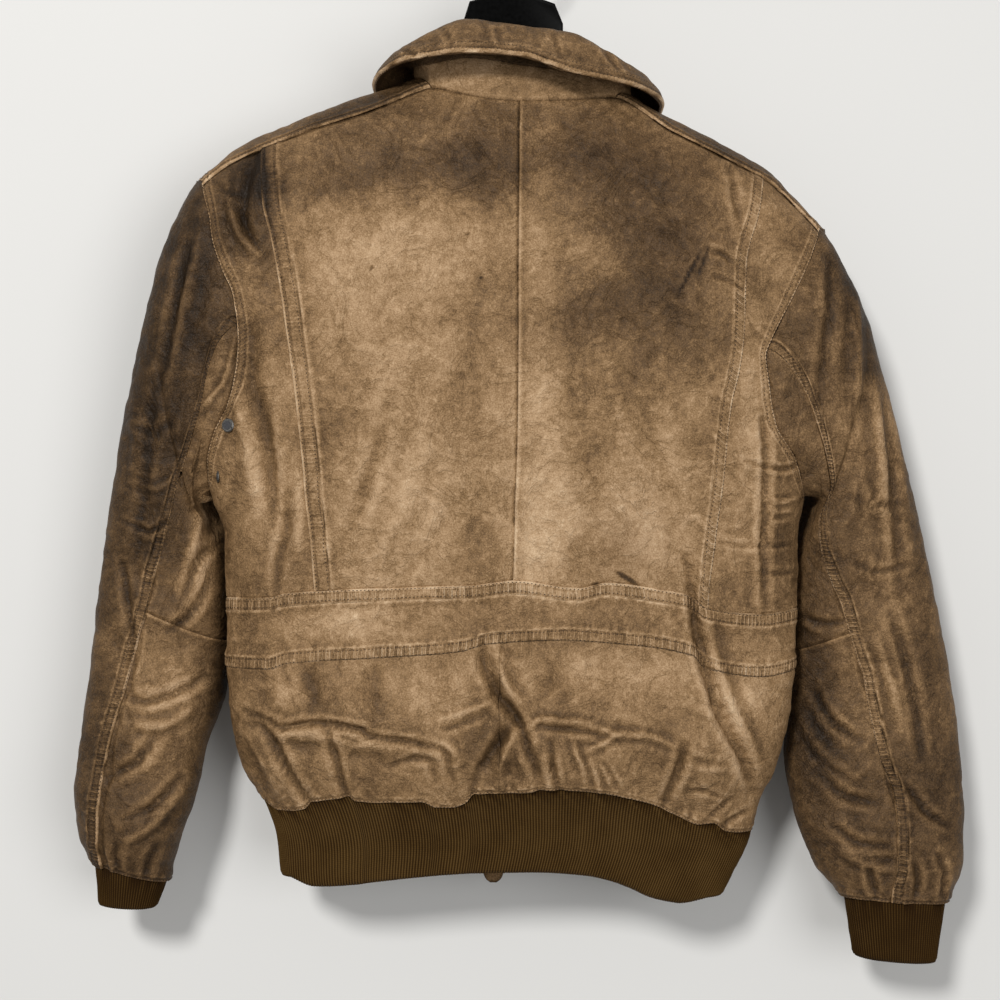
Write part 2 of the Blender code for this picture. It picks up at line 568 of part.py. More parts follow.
def armhole_loop(back, front, side):
    """The closed edge of an armhole: from its foot up the back, over the shoulder and down the front."""
    foot = len(stations(BODY_UP)) - 1
    column = 0 if side == "left" else -1
    behind = back[foot:, column]
    before = front[foot:, 0][::-1]
    return np.concatenate([behind, before[1:]])


def sleeve_sheet(side, loop):
    """Rings of a sleeve down from the armhole's edge, with the armhole's own stations round each ring."""
    table = LEFT_SLEEVE if side == "left" else RIGHT_SLEEVE
    steps = np.linalg.norm(np.diff(loop, axis=0), axis=1)
    along = np.concatenate([[0.0], np.cumsum(steps)])
    tip = int(np.argmax(loop[:, 2]))
    is_back = np.arange(len(loop)) <= tip
    by_length = np.where(is_back, 180.0 * (1.0 - along / along[tip]),
                         -180.0 * (along - along[tip]) / (along[-1] - along[tip]))
    place = 2.0 * (loop[:, 2] - loop[0, 2]) / (loop[tip, 2] - loop[0, 2]) - 1.0
    cosine = np.clip(np.sign(place) * np.abs(place) ** (SLEEVE_POWER / 2.0), -1.0, 1.0)
    by_height = np.where(is_back, 1.0, -1.0) * np.degrees(np.arccos(cosine))
    rings = sleeve_stations(side)
    points = np.zeros((len(rings), len(loop), 3))
    for row, part in enumerate(rings):
        numbers = [smooth(table, part, column) for column in range(1, 11)]
        ox, oz, ix, iz, forward, deep_back, deep_front, turn_back, turn_front, lean = numbers
        natural = lerp(by_height, by_length, ramp(part / STATION_BLEND))
        back_seam = natural[BACK_SEAM_STATION]
        front_seam = natural[len(loop) - 1 - FRONT_SEAM_STATION]
        angle = np.interp(natural, (-180.0, front_seam, 0.0, back_seam, 180.0),
                          (-180.0, -turn_front, 0.0, turn_back, 180.0))
        tube = tube_points(angle, (ox, oz), (ix, iz), forward, deep_back, deep_front, lean)
        tube += sleeve_relief(part, angle)[:, None] * unit(tube - tube.mean(axis=0))
        own = ramp(part / ARMHOLE_BLEND)
        points[row] = lerp(loop, tube, own)
        under = ((1.0 - np.cos(np.radians(angle))) / 2.0) ** 2
        points[row, :, 0] += np.sign(ox - ix) * UNDERARM_PUSH * 4.0 * own * (1.0 - own) * under
    return points


def sleeve_stations(side):
    above = np.linspace(0.0, ELBOW[side], ABOVE_ELBOW + 1)
    below = np.linspace(ELBOW[side], 1.0, BELOW_ELBOW + 1)
    return np.concatenate([above, below[1:]])


def tube_points(angle, outer, inner, forward, deep_back, deep_front, lean):
    """A flattened ring between its outer and inner edges, at angles from the outer edge by way of the back."""
    turned = np.radians(angle)
    cosine = np.cos(turned)
    sine = np.sin(turned)
    place = np.sign(cosine) * np.abs(cosine) ** (2.0 / SLEEVE_POWER)
    rise = np.abs(sine) ** (2.0 / SLEEVE_POWER)
    x = (outer[0] + inner[0]) / 2.0 + place * (outer[0] - inner[0]) / 2.0
    z = (outer[1] + inner[1]) / 2.0 + place * (outer[1] - inner[1]) / 2.0
    y = forward + np.where(sine > 0.0, -deep_back, deep_front) * rise
    x += np.sign(inner[0] - outer[0]) * lean * (y - forward)
    return np.stack([x, y, z], axis=-1)


def sleeve_relief(part, angle):
    """How far the sleeve's folds stand out at one ring."""
    total = np.zeros_like(angle)
    round_angle = np.mod(angle, 360.0)
    for start, end, first, last, width, depth in SLEEVE_FOLDS:
        along = (round_angle - first) / (last - first)
        line = lerp(start, end, along)
        fade = np.sin(np.pi * np.clip(along, 0.0, 1.0))
        total += depth * fade * np.exp(-((part - line) / width) ** 2)
    return total


def rib_sheet(back, left_front, right_front):
    """The hem's band, from the middle of the front on the left round by the back to the front's middle."""
    top = np.concatenate([left_front[0][::-1], back[0][1:], right_front[0][1:]])
    first_behind = len(left_front[0]) - 1
    is_back = np.zeros(len(top), dtype=bool)
    is_back[first_behind:first_behind + len(back[0])] = True
    angle = turn(top[:, 0], top[:, 2])
    foot_z = np.where(is_back, smooth(RIB_FOOT_BACK, top[:, 0]), smooth(RIB_FOOT_FRONT, top[:, 0]))
    rows = []
    for down in np.linspace(0.0, 1.0, RIB_DOWN + 1):
        z = lerp(top[:, 2], foot_z, down)
        x = at_turn(angle, z)
        depth = np.where(is_back, -smooth(TORSO, z, 3), smooth(TORSO, z, 4))
        y = depth * side_fill(x, z)
        x[0], x[-1] = -ZIP_HALF, ZIP_HALF
        rows.append(np.stack([x, y, z], axis=-1))
    rows[0] = top
    return np.stack(rows)


def cuff_sheet(side, sleeve):
    """Rings of a cuff, from the sleeve's last ring to the cuff's foot."""
    table = LEFT_SLEEVE if side == "left" else RIGHT_SLEEVE
    top = sleeve[-1]
    last = table[-1]
    middle = np.array([(last[1] + last[3]) / 2.0, last[5], (last[2] + last[4]) / 2.0])
    ox, oz, ix, iz, forward, deep_back, deep_front, lean = CUFF_FOOT[side]
    out = np.array([last[1] - last[3], 0.0, last[2] - last[4]]) / 2.0
    place = np.clip((top - middle) @ out / (out @ out), -1.0, 1.0)
    angle = np.degrees(np.arccos(np.sign(place) * np.abs(place) ** (SLEEVE_POWER / 2.0)))
    angle = np.where(top[:, 1] > middle[1], -angle, angle)
    foot = tube_points(angle, (ox, oz), (ix, iz), forward, deep_back, deep_front, lean)
    return np.stack([lerp(top, foot, part) for part in (0.0, 0.5, 1.0)])


def neck_loop(back, left_front, right_front):
    """The neck's edge from the middle of the front on the left, and each point's place round it."""
    across = stations(BACK_ACROSS)
    over = stations(ARMHOLE_FRONT_UP)
    over = over[over >= 4.0] - 4.0
    on_back = (across >= LEFT_NECK - 1e-6) & (across <= RIGHT_NECK + 1e-6)
    behind = back[-1][on_back]
    rest = 0.4 + 0.2 * (across[on_back] - LEFT_NECK) / (RIGHT_NECK - LEFT_NECK)
    left = left_front[-len(over):, -1]
    right = right_front[-len(over):, -1]
    points = np.concatenate([left, behind[1:], right[::-1][1:]])
    places = np.concatenate([0.4 * over, rest[1:], (1.0 - 0.4 * over)[::-1][1:]])
    return points, places


def collar_sections(places):
    """The stand's top, the roll and the leaf's edge at places round the neck."""
    columns = [smooth(COLLAR, places, column) for column in range(1, 10)]
    return [np.stack(columns[first:first + 3], axis=-1) for first in (0, 3, 6)]


def collar_path(places, parts):
    """The middle line of the leaf, from the stand's top over the roll to the edge."""
    top, roll, edge = collar_sections(places)
    rows = []
    rise = np.linalg.norm(roll - top, axis=-1, keepdims=True)
    fall = np.linalg.norm(edge - roll, axis=-1, keepdims=True)
    roll_at = np.clip(rise / (rise + fall), *ROLL_LIMITS)
    for t in parts:
        to_top = (t - roll_at) * (t - 1.0) / roll_at
        to_roll = t * (t - 1.0) / (roll_at * (roll_at - 1.0))
        to_edge = t * (t - roll_at) / (1.0 - roll_at)
        rows.append(to_top * top + to_roll * roll + to_edge * edge)
    return np.stack(rows)


# ----------------------------------------------------------------------------------------------------
# Meshes
# ----------------------------------------------------------------------------------------------------

def material(name, metallic=0.0, roughness=0.6):
    surface = bpy.data.materials.get(name)
    if surface is None:
        surface = bpy.data.materials.new(name)
        surface.use_nodes = True
        shader = surface.node_tree.nodes["Principled BSDF"]
        shader.inputs["Base Color"].default_value = (*COLOURS[name], 1.0)
        shader.inputs["Metallic"].default_value = metallic
        shader.inputs["Roughness"].default_value = roughness
        surface.diffuse_color = (*COLOURS[name], 1.0)
    return surface


def add_mesh(name, points, faces, surface):
    mesh = bpy.data.meshes.new(name)
    mesh.from_pydata([tuple(point) for point in np.asarray(points) * MM], [], faces)
    mesh.update()
    obj = bpy.data.objects.new(name, mesh)
    bpy.context.scene.collection.objects.link(obj)
    mesh.materials.append(surface)
    return obj


def share_rims(sheets):
    """Give points that two sheets share one common direction for their rims, so that the walls mitre."""
    total = {}
    for points, normals in sheets:
        for place, normal in zip(points.reshape(-1, 3), normals.reshape(-1, 3)):
            total.setdefault(tuple(np.round(place, 2)), []).append(normal)
    rims = []
    for points, normals in sheets:
        flat = []
        for place in points.reshape(-1, 3):
            mean = np.mean(total[tuple(np.round(place, 2))], axis=0)
            flat.append(mean / max(mean @ mean, 0.45))
        rims.append(np.array(flat).reshape(points.shape))
    return rims


def pull_in(grid, distance, sides):
    """Move the named borders of a grid inwards along the grid by a distance."""
    out = grid.copy()
    for side in sides:
        if side == "first row":
            out[0] += distance * unit(grid[1] - grid[0])
        elif side == "last row":
            out[-1] += distance * unit(grid[-2] - grid[-1])
        elif side == "first column":
            out[:, 0] += distance * unit(out[:, 1] - out[:, 0])
        elif side == "last column":
            out[:, -1] += distance * unit(out[:, -2] - out[:, -1])
    return out


ALL_BORDERS = ("first row", "last row", "first column", "last column")


def add_wall(name, outer, inner, surface, closed=False):
    """A closed solid between two grids. closed joins the last column to the first."""
    rows, columns = outer.shape[:2]
    points = np.concatenate([outer.reshape(-1, 3), inner.reshape(-1, 3)])
    half = rows * columns
    faces = []

    def at(layer, row, column):
        return layer * half + row * columns + (column % columns if closed else column)

    spans = columns if closed else columns - 1
    for row in range(rows - 1):
        for column in range(spans):
            for layer in (0, 1):
                corners = [at(layer, row, column), at(layer, row, column + 1),
                           at(layer, row + 1, column + 1), at(layer, row + 1, column)]
                faces.append(corners if layer == 0 else corners[::-1])
    for column in range(spans):
        faces.append([at(0, 0, column + 1), at(0, 0, column), at(1, 0, column), at(1, 0, column + 1)])
        last = rows - 1
        faces.append([at(0, last, column), at(0, last, column + 1),
                      at(1, last, column + 1), at(1, last, column)])
    if not closed:
        for row in range(rows - 1):
            faces.append([at(0, row, 0), at(0, row + 1, 0), at(1, row + 1, 0), at(1, row, 0)])
            last = columns - 1
            faces.append([at(0, row + 1, last), at(0, row, last), at(1, row, last), at(1, row + 1, last)])
    obj = add_mesh(name, points, faces, surface)
    turn_out(obj)
    return obj


def turn_out(obj):
    """Turn every face of a closed mesh outwards."""
    mesh = obj.data
    mesh.calc_loop_triangles()
    places = np.array([vertex.co for vertex in mesh.vertices])
    volume = 0.0
    for triangle in mesh.loop_triangles:
        a, b, c = places[list(triangle.vertices)]
        volume += a @ np.cross(b, c)
    if volume < 0.0:
        mesh.flip_normals()


def cut_panel(name, sheet, rows, columns, wall, surface, borders=ALL_BORDERS):
    """A panel: part of a sheet with the wall's thickness inwards and half the seam's gap off its borders."""
    points, rims = sheet
    outer = points[rows[0]:rows[1] + 1, columns[0]:columns[1] + 1]
    inner = outer - wall * rims[rows[0]:rows[1] + 1, columns[0]:columns[1] + 1]
    half = SEAM_GAP / 2.0
    return add_wall(name, pull_in(outer, half, borders), pull_in(inner, half, borders), surface)


def cut_side_panel(name, sheet, rows, columns, inside, surface):
    """A side panel of the back, whose pleat edge is tucked under the back by a strip."""
    points, rims = sheet
    row_slice = slice(rows[0], rows[1] + 1)
    picked = list(range(columns[0], columns[1] + 1))
    outer = points[row_slice, picked].copy()
    rim = rims[row_slice, picked]
    tuck_column = columns[1] if inside == "last" else columns[0]
    next_column = tuck_column + (1 if inside == "last" else -1)
    seam = points[row_slice, tuck_column]
    strip = seam + PLEAT_TUCK * unit(points[row_slice, next_column] - seam)
    below = (LEATHER + SEAM_GAP) * rims[row_slice, tuck_column]
    if inside == "last":
        outer[:, -1] = seam - below
        outer = np.concatenate([outer, (strip - below)[:, None]], axis=1)
        rim = np.concatenate([rim, rim[:, -1:]], axis=1)
    else:
        outer[:, 0] = seam - below
        outer = np.concatenate([(strip - below)[:, None], outer], axis=1)
        rim = np.concatenate([rim[:, :1], rim], axis=1)
    inner = outer - LEATHER * rim
    half = SEAM_GAP / 2.0
    return add_wall(name, pull_in(outer, half, ALL_BORDERS), pull_in(inner, half, ALL_BORDERS), surface)


# ----------------------------------------------------------------------------------------------------
# The garment
# ----------------------------------------------------------------------------------------------------

def station_of(spans, value):
    return int(np.argmin(np.abs(stations(spans) - value)))


def make_torso(back, left_front, right_front):
    leather = material("leather")
    foot = station_of(BODY_UP, 1.0)
    head = station_of(BODY_UP, 2.0)
    top = back[0].shape[0] - 1
    left_pleat, centre, right_pleat = (station_of(BACK_ACROSS, value) for value in (1.0, 2.0, 3.0))
    right_edge = back[0].shape[1] - 1
    cut_panel("back_left", back, (head, top), (left_pleat, centre), LEATHER, leather)
    cut_panel("back_right", back, (head, top), (centre, right_pleat), LEATHER, leather)
    cut_side_panel("back_side_left", back, (head, top), (0, left_pleat), "last", leather)
    cut_side_panel("back_side_right", back, (head, top), (right_pleat, right_edge), "first", leather)
    cut_panel("half_belt", back, (foot, head), (0, right_edge), LEATHER, leather)
    cut_panel("lower_back_left", back, (0, foot), (0, centre), LEATHER, leather)
    cut_panel("lower_back_right", back, (0, foot), (centre, right_edge), LEATHER, leather)
    for name, front in (("front_left", left_front), ("front_right", right_front)):
        cut_panel(name, front, (0, front[0].shape[0] - 1), (0, front[0].shape[1] - 1), LEATHER, leather)


def make_sleeve(side, sleeve, cuff):
    sleeve = (pull_in(sleeve[0], ARMHOLE_GAP, ("first row",)), sleeve[1])
    points = sleeve[0]
    elbow = int(np.argmin(np.abs(sleeve_stations(side) - ELBOW[side])))
    last_row = points.shape[0] - 1
    back_seam = BACK_SEAM_STATION
    front_seam = points.shape[1] - 1 - FRONT_SEAM_STATION
    surface = material("leather dark" if side == "left" else "leather")
    cut_panel("sleeve_outer_" + side, sleeve, (0, last_row), (back_seam, front_seam), LEATHER, surface)
    ring = [np.concatenate([array[:, front_seam:-1], array[:, :back_seam + 1]], axis=1) for array in sleeve]
    width = ring[0].shape[1] - 1
    cut_panel("sleeve_under_upper_" + side, ring, (0, elbow), (0, width), LEATHER, surface)
    cut_panel("sleeve_under_lower_" + side, ring, (elbow, last_row), (0, width), LEATHER, surface)
    outer = cuff[0][:, :-1]
    inner = outer - RIB * cuff[1][:, :-1]
    half = SEAM_GAP / 2.0
    add_wall("cuff_" + side, pull_in(outer, half, ("first row",)), pull_in(inner, half, ("first row",)),
             material("rib"), closed=True)


def make_collar(stand, places):
    half = SEAM_GAP / 2.0
    last_row = stand[0].shape[0] - 1
    last_column = stand[0].shape[1] - 1
    foot = (pull_in(stand[0], COLLAR_FOOT, ("first row",)), stand[1])
    cut_panel("collar_stand", foot, (0, last_row), (0, last_column), LEATHER, material("leather light"))
    path = collar_path(places, np.linspace(0.0, 1.0, LEAF_ROWS))
    across = np.gradient(path, axis=1)
    along = np.gradient(path, axis=0)
    out = unit(np.cross(along, across))
    for name, near, far, surface in (("under_collar", half, half + COLLAR_LAYER, "leather dark"),
                                     ("collar_leaf", -half, -half - COLLAR_LAYER, "leather")):
        first = pull_in(path + near * out, half, ("first row",))
        second = pull_in(path + far * out, half, ("first row",))
        add_wall(name, first, second, material(surface))


# ----------------------------------------------------------------------------------------------------
# The zip, the flap behind it and the eyelets
# ----------------------------------------------------------------------------------------------------

def zip_line(left_front, rib):
    """Forward and up of the leather at the zip, from the band's foot to the neck."""
    top_row = len(stations(BODY_UP)) + len(stations(ARMHOLE_FRONT_UP[:1])) - 1
    band = rib[1:, 0][::-1]
    front = left_front[:top_row, -1]
    return np.concatenate([band, front])[:, 1:]


def strip_wall(name, line, halves, middle, depth_out, depth_in, surface):
    """A closed strip along the zip's line: its half width at each point, and how deep its two faces lie."""
    across = np.array([-1.0, -0.5, 0.0, 0.5, 1.0])
    outer = np.zeros((len(line), len(across), 3))
    outer[..., 0] = middle + np.outer(halves, across)
    outer[..., 1] = line[:, :1] - depth_out
    outer[..., 2] = line[:, 1:]
    inner = outer - np.array([0.0, depth_in - depth_out, 0.0])
    return add_wall(name, outer, inner, surface)


def make_zip(line):
    trimmed = line.copy()
    trimmed[-1] += SEAM_GAP * unit(line[-2] - line[-1])
    count = len(line)
    strip_wall("zip_tapes", trimmed, np.full(count, TAPE_HALF), 0.0, TAPE_DEPTH, TAPE_DEPTH + TAPE,
               material("tape"))
    below = line[line[:, 1] < ZIP_HEAD]
    head = np.array([[np.interp(ZIP_HEAD, line[:, 1], line[:, 0]), ZIP_HEAD]])
    strip_wall("zip_teeth", np.concatenate([below, head]), np.full(len(below) + 1, TEETH_HALF), 0.0,
               -TEETH_PROUD, TAPE_DEPTH - SEAM_GAP, material("brass", 1.0, 0.35))
    face = float(np.interp(ZIP_HEAD, line[:, 1], line[:, 0]))
    make_slider(face + TEETH_PROUD + 2.0 * SEAM_GAP)


def make_box(name, centre, size, surface):
    corners = [(x, y, z) for x in (-0.5, 0.5) for y in (-0.5, 0.5) for z in (-0.5, 0.5)]
    points = np.array(centre) + np.array(corners) * np.array(size)
    faces = [(0, 1, 3, 2), (4, 6, 7, 5), (0, 4, 5, 1), (2, 3, 7, 6), (0, 2, 6, 4), (1, 5, 7, 3)]
    return add_mesh(name, points, faces, surface)


def cut_or_join(target, tool, operation):
    tool.hide_render = True
    tool.display_type = "WIRE"
    step = target.modifiers.new(operation.lower() + " " + tool.name, "BOOLEAN")
    step.operation = operation
    step.object = tool


def make_slider(back_y):
    """The slider, whose arch the pull's crossbar passes through, and the pull, turning about its crossbar."""
    brass = material("brass", 1.0, 0.35)
    width, deep, tall = SLIDER
    hinge_y = back_y + deep + ARCH_HOLE[0] / 2.0
    hinge = np.array([0.0, hinge_y, ZIP_HEAD])
    slider = make_box("zip_slider", (0.0, back_y + deep / 2.0, ZIP_HEAD), (width, deep, tall), brass)
    arch_tall = ARCH_HOLE[1] + 2.0 * ARCH_WALL
    arch_deep = ARCH_HOLE[0] + ARCH_WALL
    arch_middle = (0.0, back_y + deep + (arch_deep - SUNK) / 2.0, ZIP_HEAD)
    arch = make_box("slider_arch", arch_middle, (ARCH_WIDTH, arch_deep + SUNK, arch_tall), brass)
    hole = make_box("slider_hole", hinge, (ARCH_WIDTH + CUT_PAST, ARCH_HOLE[0], ARCH_HOLE[1]), brass)
    cut_or_join(slider, arch, "UNION")
    cut_or_join(slider, hole, "DIFFERENCE")
    bar = PULL_THICK / 2.0
    pull_size = (PULL_WIDE, PULL_THICK, PULL_LONG + bar)
    slot_size = (PULL_SLOT[0], PULL_THICK + CUT_PAST, PULL_SLOT[1])
    pull = make_box("zip_pull", (0.0, 0.0, (bar - PULL_LONG) / 2.0), pull_size, brass)
    slot = make_box("pull_slot", (0.0, 0.0, -bar - PULL_SLOT[1] / 2.0), slot_size, brass)
    pull.location = hinge * MM
    slot.location = hinge * MM
    cut_or_join(pull, slot, "DIFFERENCE")


def make_wind_flap(line):
    rows = line[line[:, 1] > FLAP_TAPER_TOP]
    heights = [row[0] for row in FLAP_END]
    end = np.array([[np.interp(height, line[:, 1], line[:, 0]), height] for height in heights])
    halves = np.concatenate([[row[1] for row in FLAP_END], np.full(len(rows), FLAP_HALF)])
    path = np.concatenate([end, rows])
    path[-1] += 2.0 * SEAM_GAP * unit(path[-2] - path[-1])
    strip_wall("wind_flap", path, halves, FLAP_MIDDLE, FLAP_DEPTH, FLAP_DEPTH + FLAP_WALL, material("leather"))


def make_eyelets():
    """Two vents by the foot of each armhole, seated on the panel that a line of sight along Y meets."""
    for name, panel, x, z, from_y in EYELETS:
        tree = BVHTree.FromObject(bpy.data.objects[panel], bpy.context.evaluated_depsgraph_get())
        sight = Vector((0.0, -from_y, 0.0)).normalized()
        place, normal, _, _ = tree.ray_cast(Vector((x, from_y, z)) * MM, sight)
        seat = np.array(place) / MM + EYELET_SEAT * np.array(normal)
        lathe(name, seat, np.array(normal), EYELET_PROFILE, material("steel", 1.0, 0.35))


def lathe(name, base, axis, profile, surface, steps=20):
    """A closed ring: a closed profile of radius and rise, turned about an axis."""
    side = unit(np.cross(axis, (0.0, 0.0, 1.0)))
    up = np.cross(axis, side)
    points = []
    for step in range(steps):
        turned = 2.0 * np.pi * step / steps
        ray = math.cos(turned) * side + math.sin(turned) * up
        points.extend(base + radius * ray + rise * axis for radius, rise in profile)
    count = len(profile)
    faces = []
    for step in range(steps):
        here = step * count
        there = (step + 1) % steps * count
        for i in range(count):
            j = (i + 1) % count
            faces.append((here + i, here + j, there + j, there + i))
    obj = add_mesh(name, points, faces, surface)
    turn_out(obj)
    return obj


# ----------------------------------------------------------------------------------------------------
# The hanger
# ----------------------------------------------------------------------------------------------------

def sweep(name, path, wide, tall, surface, steps=12):
    """A closed bar along a path in the XZ plane, with oval sections."""
    tangents = unit(np.gradient(path, axis=0))
    upright = np.stack([-tangents[:, 2], np.zeros(len(path)), tangents[:, 0]], axis=-1)
    points = []
    for place, normal, half_wide, half_tall in zip(path, upright, wide, tall):
        for step in range(steps):
            turned = 2.0 * np.pi * step / steps
            points.append(place + half_tall * math.sin(turned) * normal
                          + np.array([0.0, half_wide * math.cos(turned), 0.0]))
    faces = [tuple(range(steps)), tuple(range(len(points) - steps, len(points)))[::-1]]
    for row in range(len(path) - 1):
        for step in range(steps):
            following = (step + 1) % steps
            faces.append((row * steps + step, (row + 1) * steps + step,
                          (row + 1) * steps + following, row * steps + following))
    obj = add_mesh(name, points, faces, surface)
    turn_out(obj)
    return obj


def arm_tops(front, rims):
    """The line just under the shoulder's top on which a front lies on the hanger, from its tip to the neck."""
    row = station_of(BODY_UP + ARMHOLE_FRONT_UP, ARM_STATION)
    tops = front[row] - LEATHER * rims[row] - np.array([0.0, 0.0, HANGER_SEAT])
    tops[:, 1] = 0.0
    return tops[np.abs(tops[:, 0]) < HANGER_HALF]


def make_hanger(left_front, right_front):
    plastic = material("hanger", 0.0, 0.35)
    left = arm_tops(*left_front)
    right = arm_tops(*right_front)[::-1]
    middle = np.array([(x, 0.0, z) for x, z in HANGER_MIDDLE])
    tops = np.concatenate([left, middle, right])
    first = tops[0] + np.array([-ARM_NOSE, 0.0, -ARM_NOSE])
    last = tops[-1] + np.array([ARM_NOSE, 0.0, -ARM_NOSE])
    tops = np.concatenate([[first], tops, [last]])
    tall = np.full(len(tops), ARM_TALL)
    wide = np.full(len(tops), ARM_WIDE)
    tall[0] = tall[-1] = ARM_TALL / 2.0
    wide[0] = wide[-1] = ARM_WIDE / 2.0
    tangents = unit(np.gradient(tops, axis=0))
    upright = np.stack([-tangents[:, 2], np.zeros(len(tops)), tangents[:, 0]], axis=-1)
    arms = sweep("hanger_body", tops - tall[:, None] * upright, wide, tall, plastic)
    plate = make_plate(plastic)
    bore_ends = np.array([(0.0, 0.0, HOOK_FOOT - SEAM_GAP), (0.0, 0.0, PLATE_TOP + HOOK_WIRE)])
    bore = [HOOK_WIRE + SEAM_GAP] * 2
    stem = sweep("hook_hole", bore_ends, bore, bore, plastic)
    cut_or_join(arms, plate, "UNION")
    cut_or_join(arms, stem, "DIFFERENCE")
    make_hook()


def make_plate(surface):
    """The hanger's middle plate, with a raised rim on both faces."""
    work = bmesh.new()
    front = [work.verts.new((x * MM, -PLATE_HALF * MM, z * MM)) for x, z in PLATE]
    face = work.faces.new(front)
    made = bmesh.ops.extrude_face_region(work, geom=[face])
    moved = [item for item in made["geom"] if isinstance(item, bmesh.types.BMVert)]
    bmesh.ops.translate(work, verts=moved, vec=(0.0, 2.0 * PLATE_HALF * MM, 0.0))
    bmesh.ops.recalc_face_normals(work, faces=work.faces)
    sides = [item for item in work.faces if abs(item.normal.y) > 0.9]
    bmesh.ops.inset_individual(work, faces=sides, thickness=PLATE_RIM * MM, depth=-PLATE_SUNK * MM)
    mesh = bpy.data.meshes.new("hanger_plate")
    work.to_mesh(mesh)
    work.free()
    mesh.materials.append(surface)
    plate = bpy.data.objects.new("hanger_plate", mesh)
    bpy.context.scene.collection.objects.link(plate)
    return plate


def make_hook():
    """The hook, a bent wire. The origin is the top of its inside."""
    centre = -HOOK_INNER
    ring = HOOK_INNER + HOOK_WIRE
    stem = [(0.0, HOOK_FOOT), (0.0, -58.0), (2.0, -50.0), (7.5, -43.0)]
    turned = np.radians(np.linspace(HOOK_ARC[0], HOOK_ARC[1], HOOK_STEPS))
    bend = [(ring * math.cos(angle), centre + ring * math.sin(angle)) for angle in turned]
    path = np.array([(x, 0.0, z) for x, z in stem + bend])
    size = [HOOK_WIRE] * len(path)
    sweep("hanger_hook", path, size, size, material("steel", 1.0, 0.35), 10)


def main():
    for old in list(bpy.data.objects):
        bpy.data.objects.remove(old, do_unlink=True)
    back, left_front, right_front = torso_sheets()
    loops = {"left": armhole_loop(back, left_front, "left"), "right": armhole_loop(back, right_front, "right")}
    sleeves = {side: sleeve_sheet(side, loops[side]) for side in ("left", "right")}
    cuffs = {side: cuff_sheet(side, sleeves[side]) for side in ("left", "right")}
    rib = rib_sheet(back, left_front, right_front)
    loop, places = neck_loop(back, left_front, right_front)
    top = collar_sections(places)[0]
    stand = np.stack([lerp(loop, top, part) for part in (0.0, 0.5, 1.0)])

    grids = [back, left_front, right_front, sleeves["left"], sleeves["right"], cuffs["left"], cuffs["right"],
             rib, stand]
    closed = (False, False, False, True, True, True, True, False, False)
    centres = (spine, spine, spine, tube_spine, tube_spine, tube_spine, tube_spine, spine, spine)
    normals = [grid_normals(grid, shut, centre) for grid, shut, centre in zip(grids, closed, centres)]
    rims = share_rims(list(zip(grids, normals)))
    sheets = list(zip(grids, rims))
    make_torso(sheets[0], sheets[1], sheets[2])
    make_sleeve("left", sheets[3], sheets[5])
    make_sleeve("right", sheets[4], sheets[6])
    cut_panel("hem_rib", sheets[7], (0, RIB_DOWN), (0, rib.shape[1] - 1), RIB, material("rib"), ("first row",))
    make_collar(sheets[8], places)
    line = zip_line(left_front, rib)
    make_zip(line)
    make_wind_flap(line)
    make_eyelets()
    make_hanger(sheets[1], sheets[2])


main()
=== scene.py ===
# %% [markdown]
# # A worn leather flight jacket on its hanger
#
# This notebook dresses a plain solid model of a leather jacket. The solids give the size, the weight and the
# way the parts move. Here each of them gets its real surface: creased leather, seams with two rows of
# stitching, ribbed knitting, a metal zip and a plastic hanger.

# %% Load the solid model
import json
import math

import bmesh
import bpy
import numpy as np
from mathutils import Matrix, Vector

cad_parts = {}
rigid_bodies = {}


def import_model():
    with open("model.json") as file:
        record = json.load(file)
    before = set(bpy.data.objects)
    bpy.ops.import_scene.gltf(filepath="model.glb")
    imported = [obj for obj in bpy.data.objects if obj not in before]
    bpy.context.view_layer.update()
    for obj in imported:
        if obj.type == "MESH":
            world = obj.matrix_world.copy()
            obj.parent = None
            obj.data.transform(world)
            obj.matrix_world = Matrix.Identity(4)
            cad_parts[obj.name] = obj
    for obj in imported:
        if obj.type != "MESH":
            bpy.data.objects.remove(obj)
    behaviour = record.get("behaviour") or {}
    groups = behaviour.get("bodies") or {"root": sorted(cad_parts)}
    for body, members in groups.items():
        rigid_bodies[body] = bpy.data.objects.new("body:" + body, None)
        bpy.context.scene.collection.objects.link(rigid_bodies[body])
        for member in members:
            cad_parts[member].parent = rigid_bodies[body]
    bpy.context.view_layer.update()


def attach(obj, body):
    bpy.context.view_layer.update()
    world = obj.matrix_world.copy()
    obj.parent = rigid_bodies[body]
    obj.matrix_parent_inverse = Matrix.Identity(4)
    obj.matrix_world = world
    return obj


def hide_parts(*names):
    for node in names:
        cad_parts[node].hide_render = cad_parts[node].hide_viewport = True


for old in list(bpy.data.objects):
    bpy.data.objects.remove(old, do_unlink=True)
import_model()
MM = 0.001
ROOT = "jacket"
PULL = "pull"

# %% [markdown]
# ## The garment's form
#
# A jacket on a hanger is a flat, soft tube. We describe it by tables: how wide and how deep it is at each
# height, and where its seams run. Each table is a few rows of numbers in millimetres, and a smooth curve is
# drawn through them. This is the pattern cutter's way, and it lets every panel share its seams with its
# neighbours exactly.
#
# +X is the wearer's right, -Y is out of the jacket's back and +Z is up. The hanger's hook is at the origin.

# %% Sizes of the torso
LEATHER = 1.7           # wall of the leather
SIDE_POWER = 2.8        # how squarely the torso's section turns at its sides
ROLL = 70.0             # height over which the shoulder rolls from front to back
ZIP_HALF = 4.0          # from the middle of the front to the leather's edge
SEARCH_STEPS = 30       # steps of the searches for where two curves meet

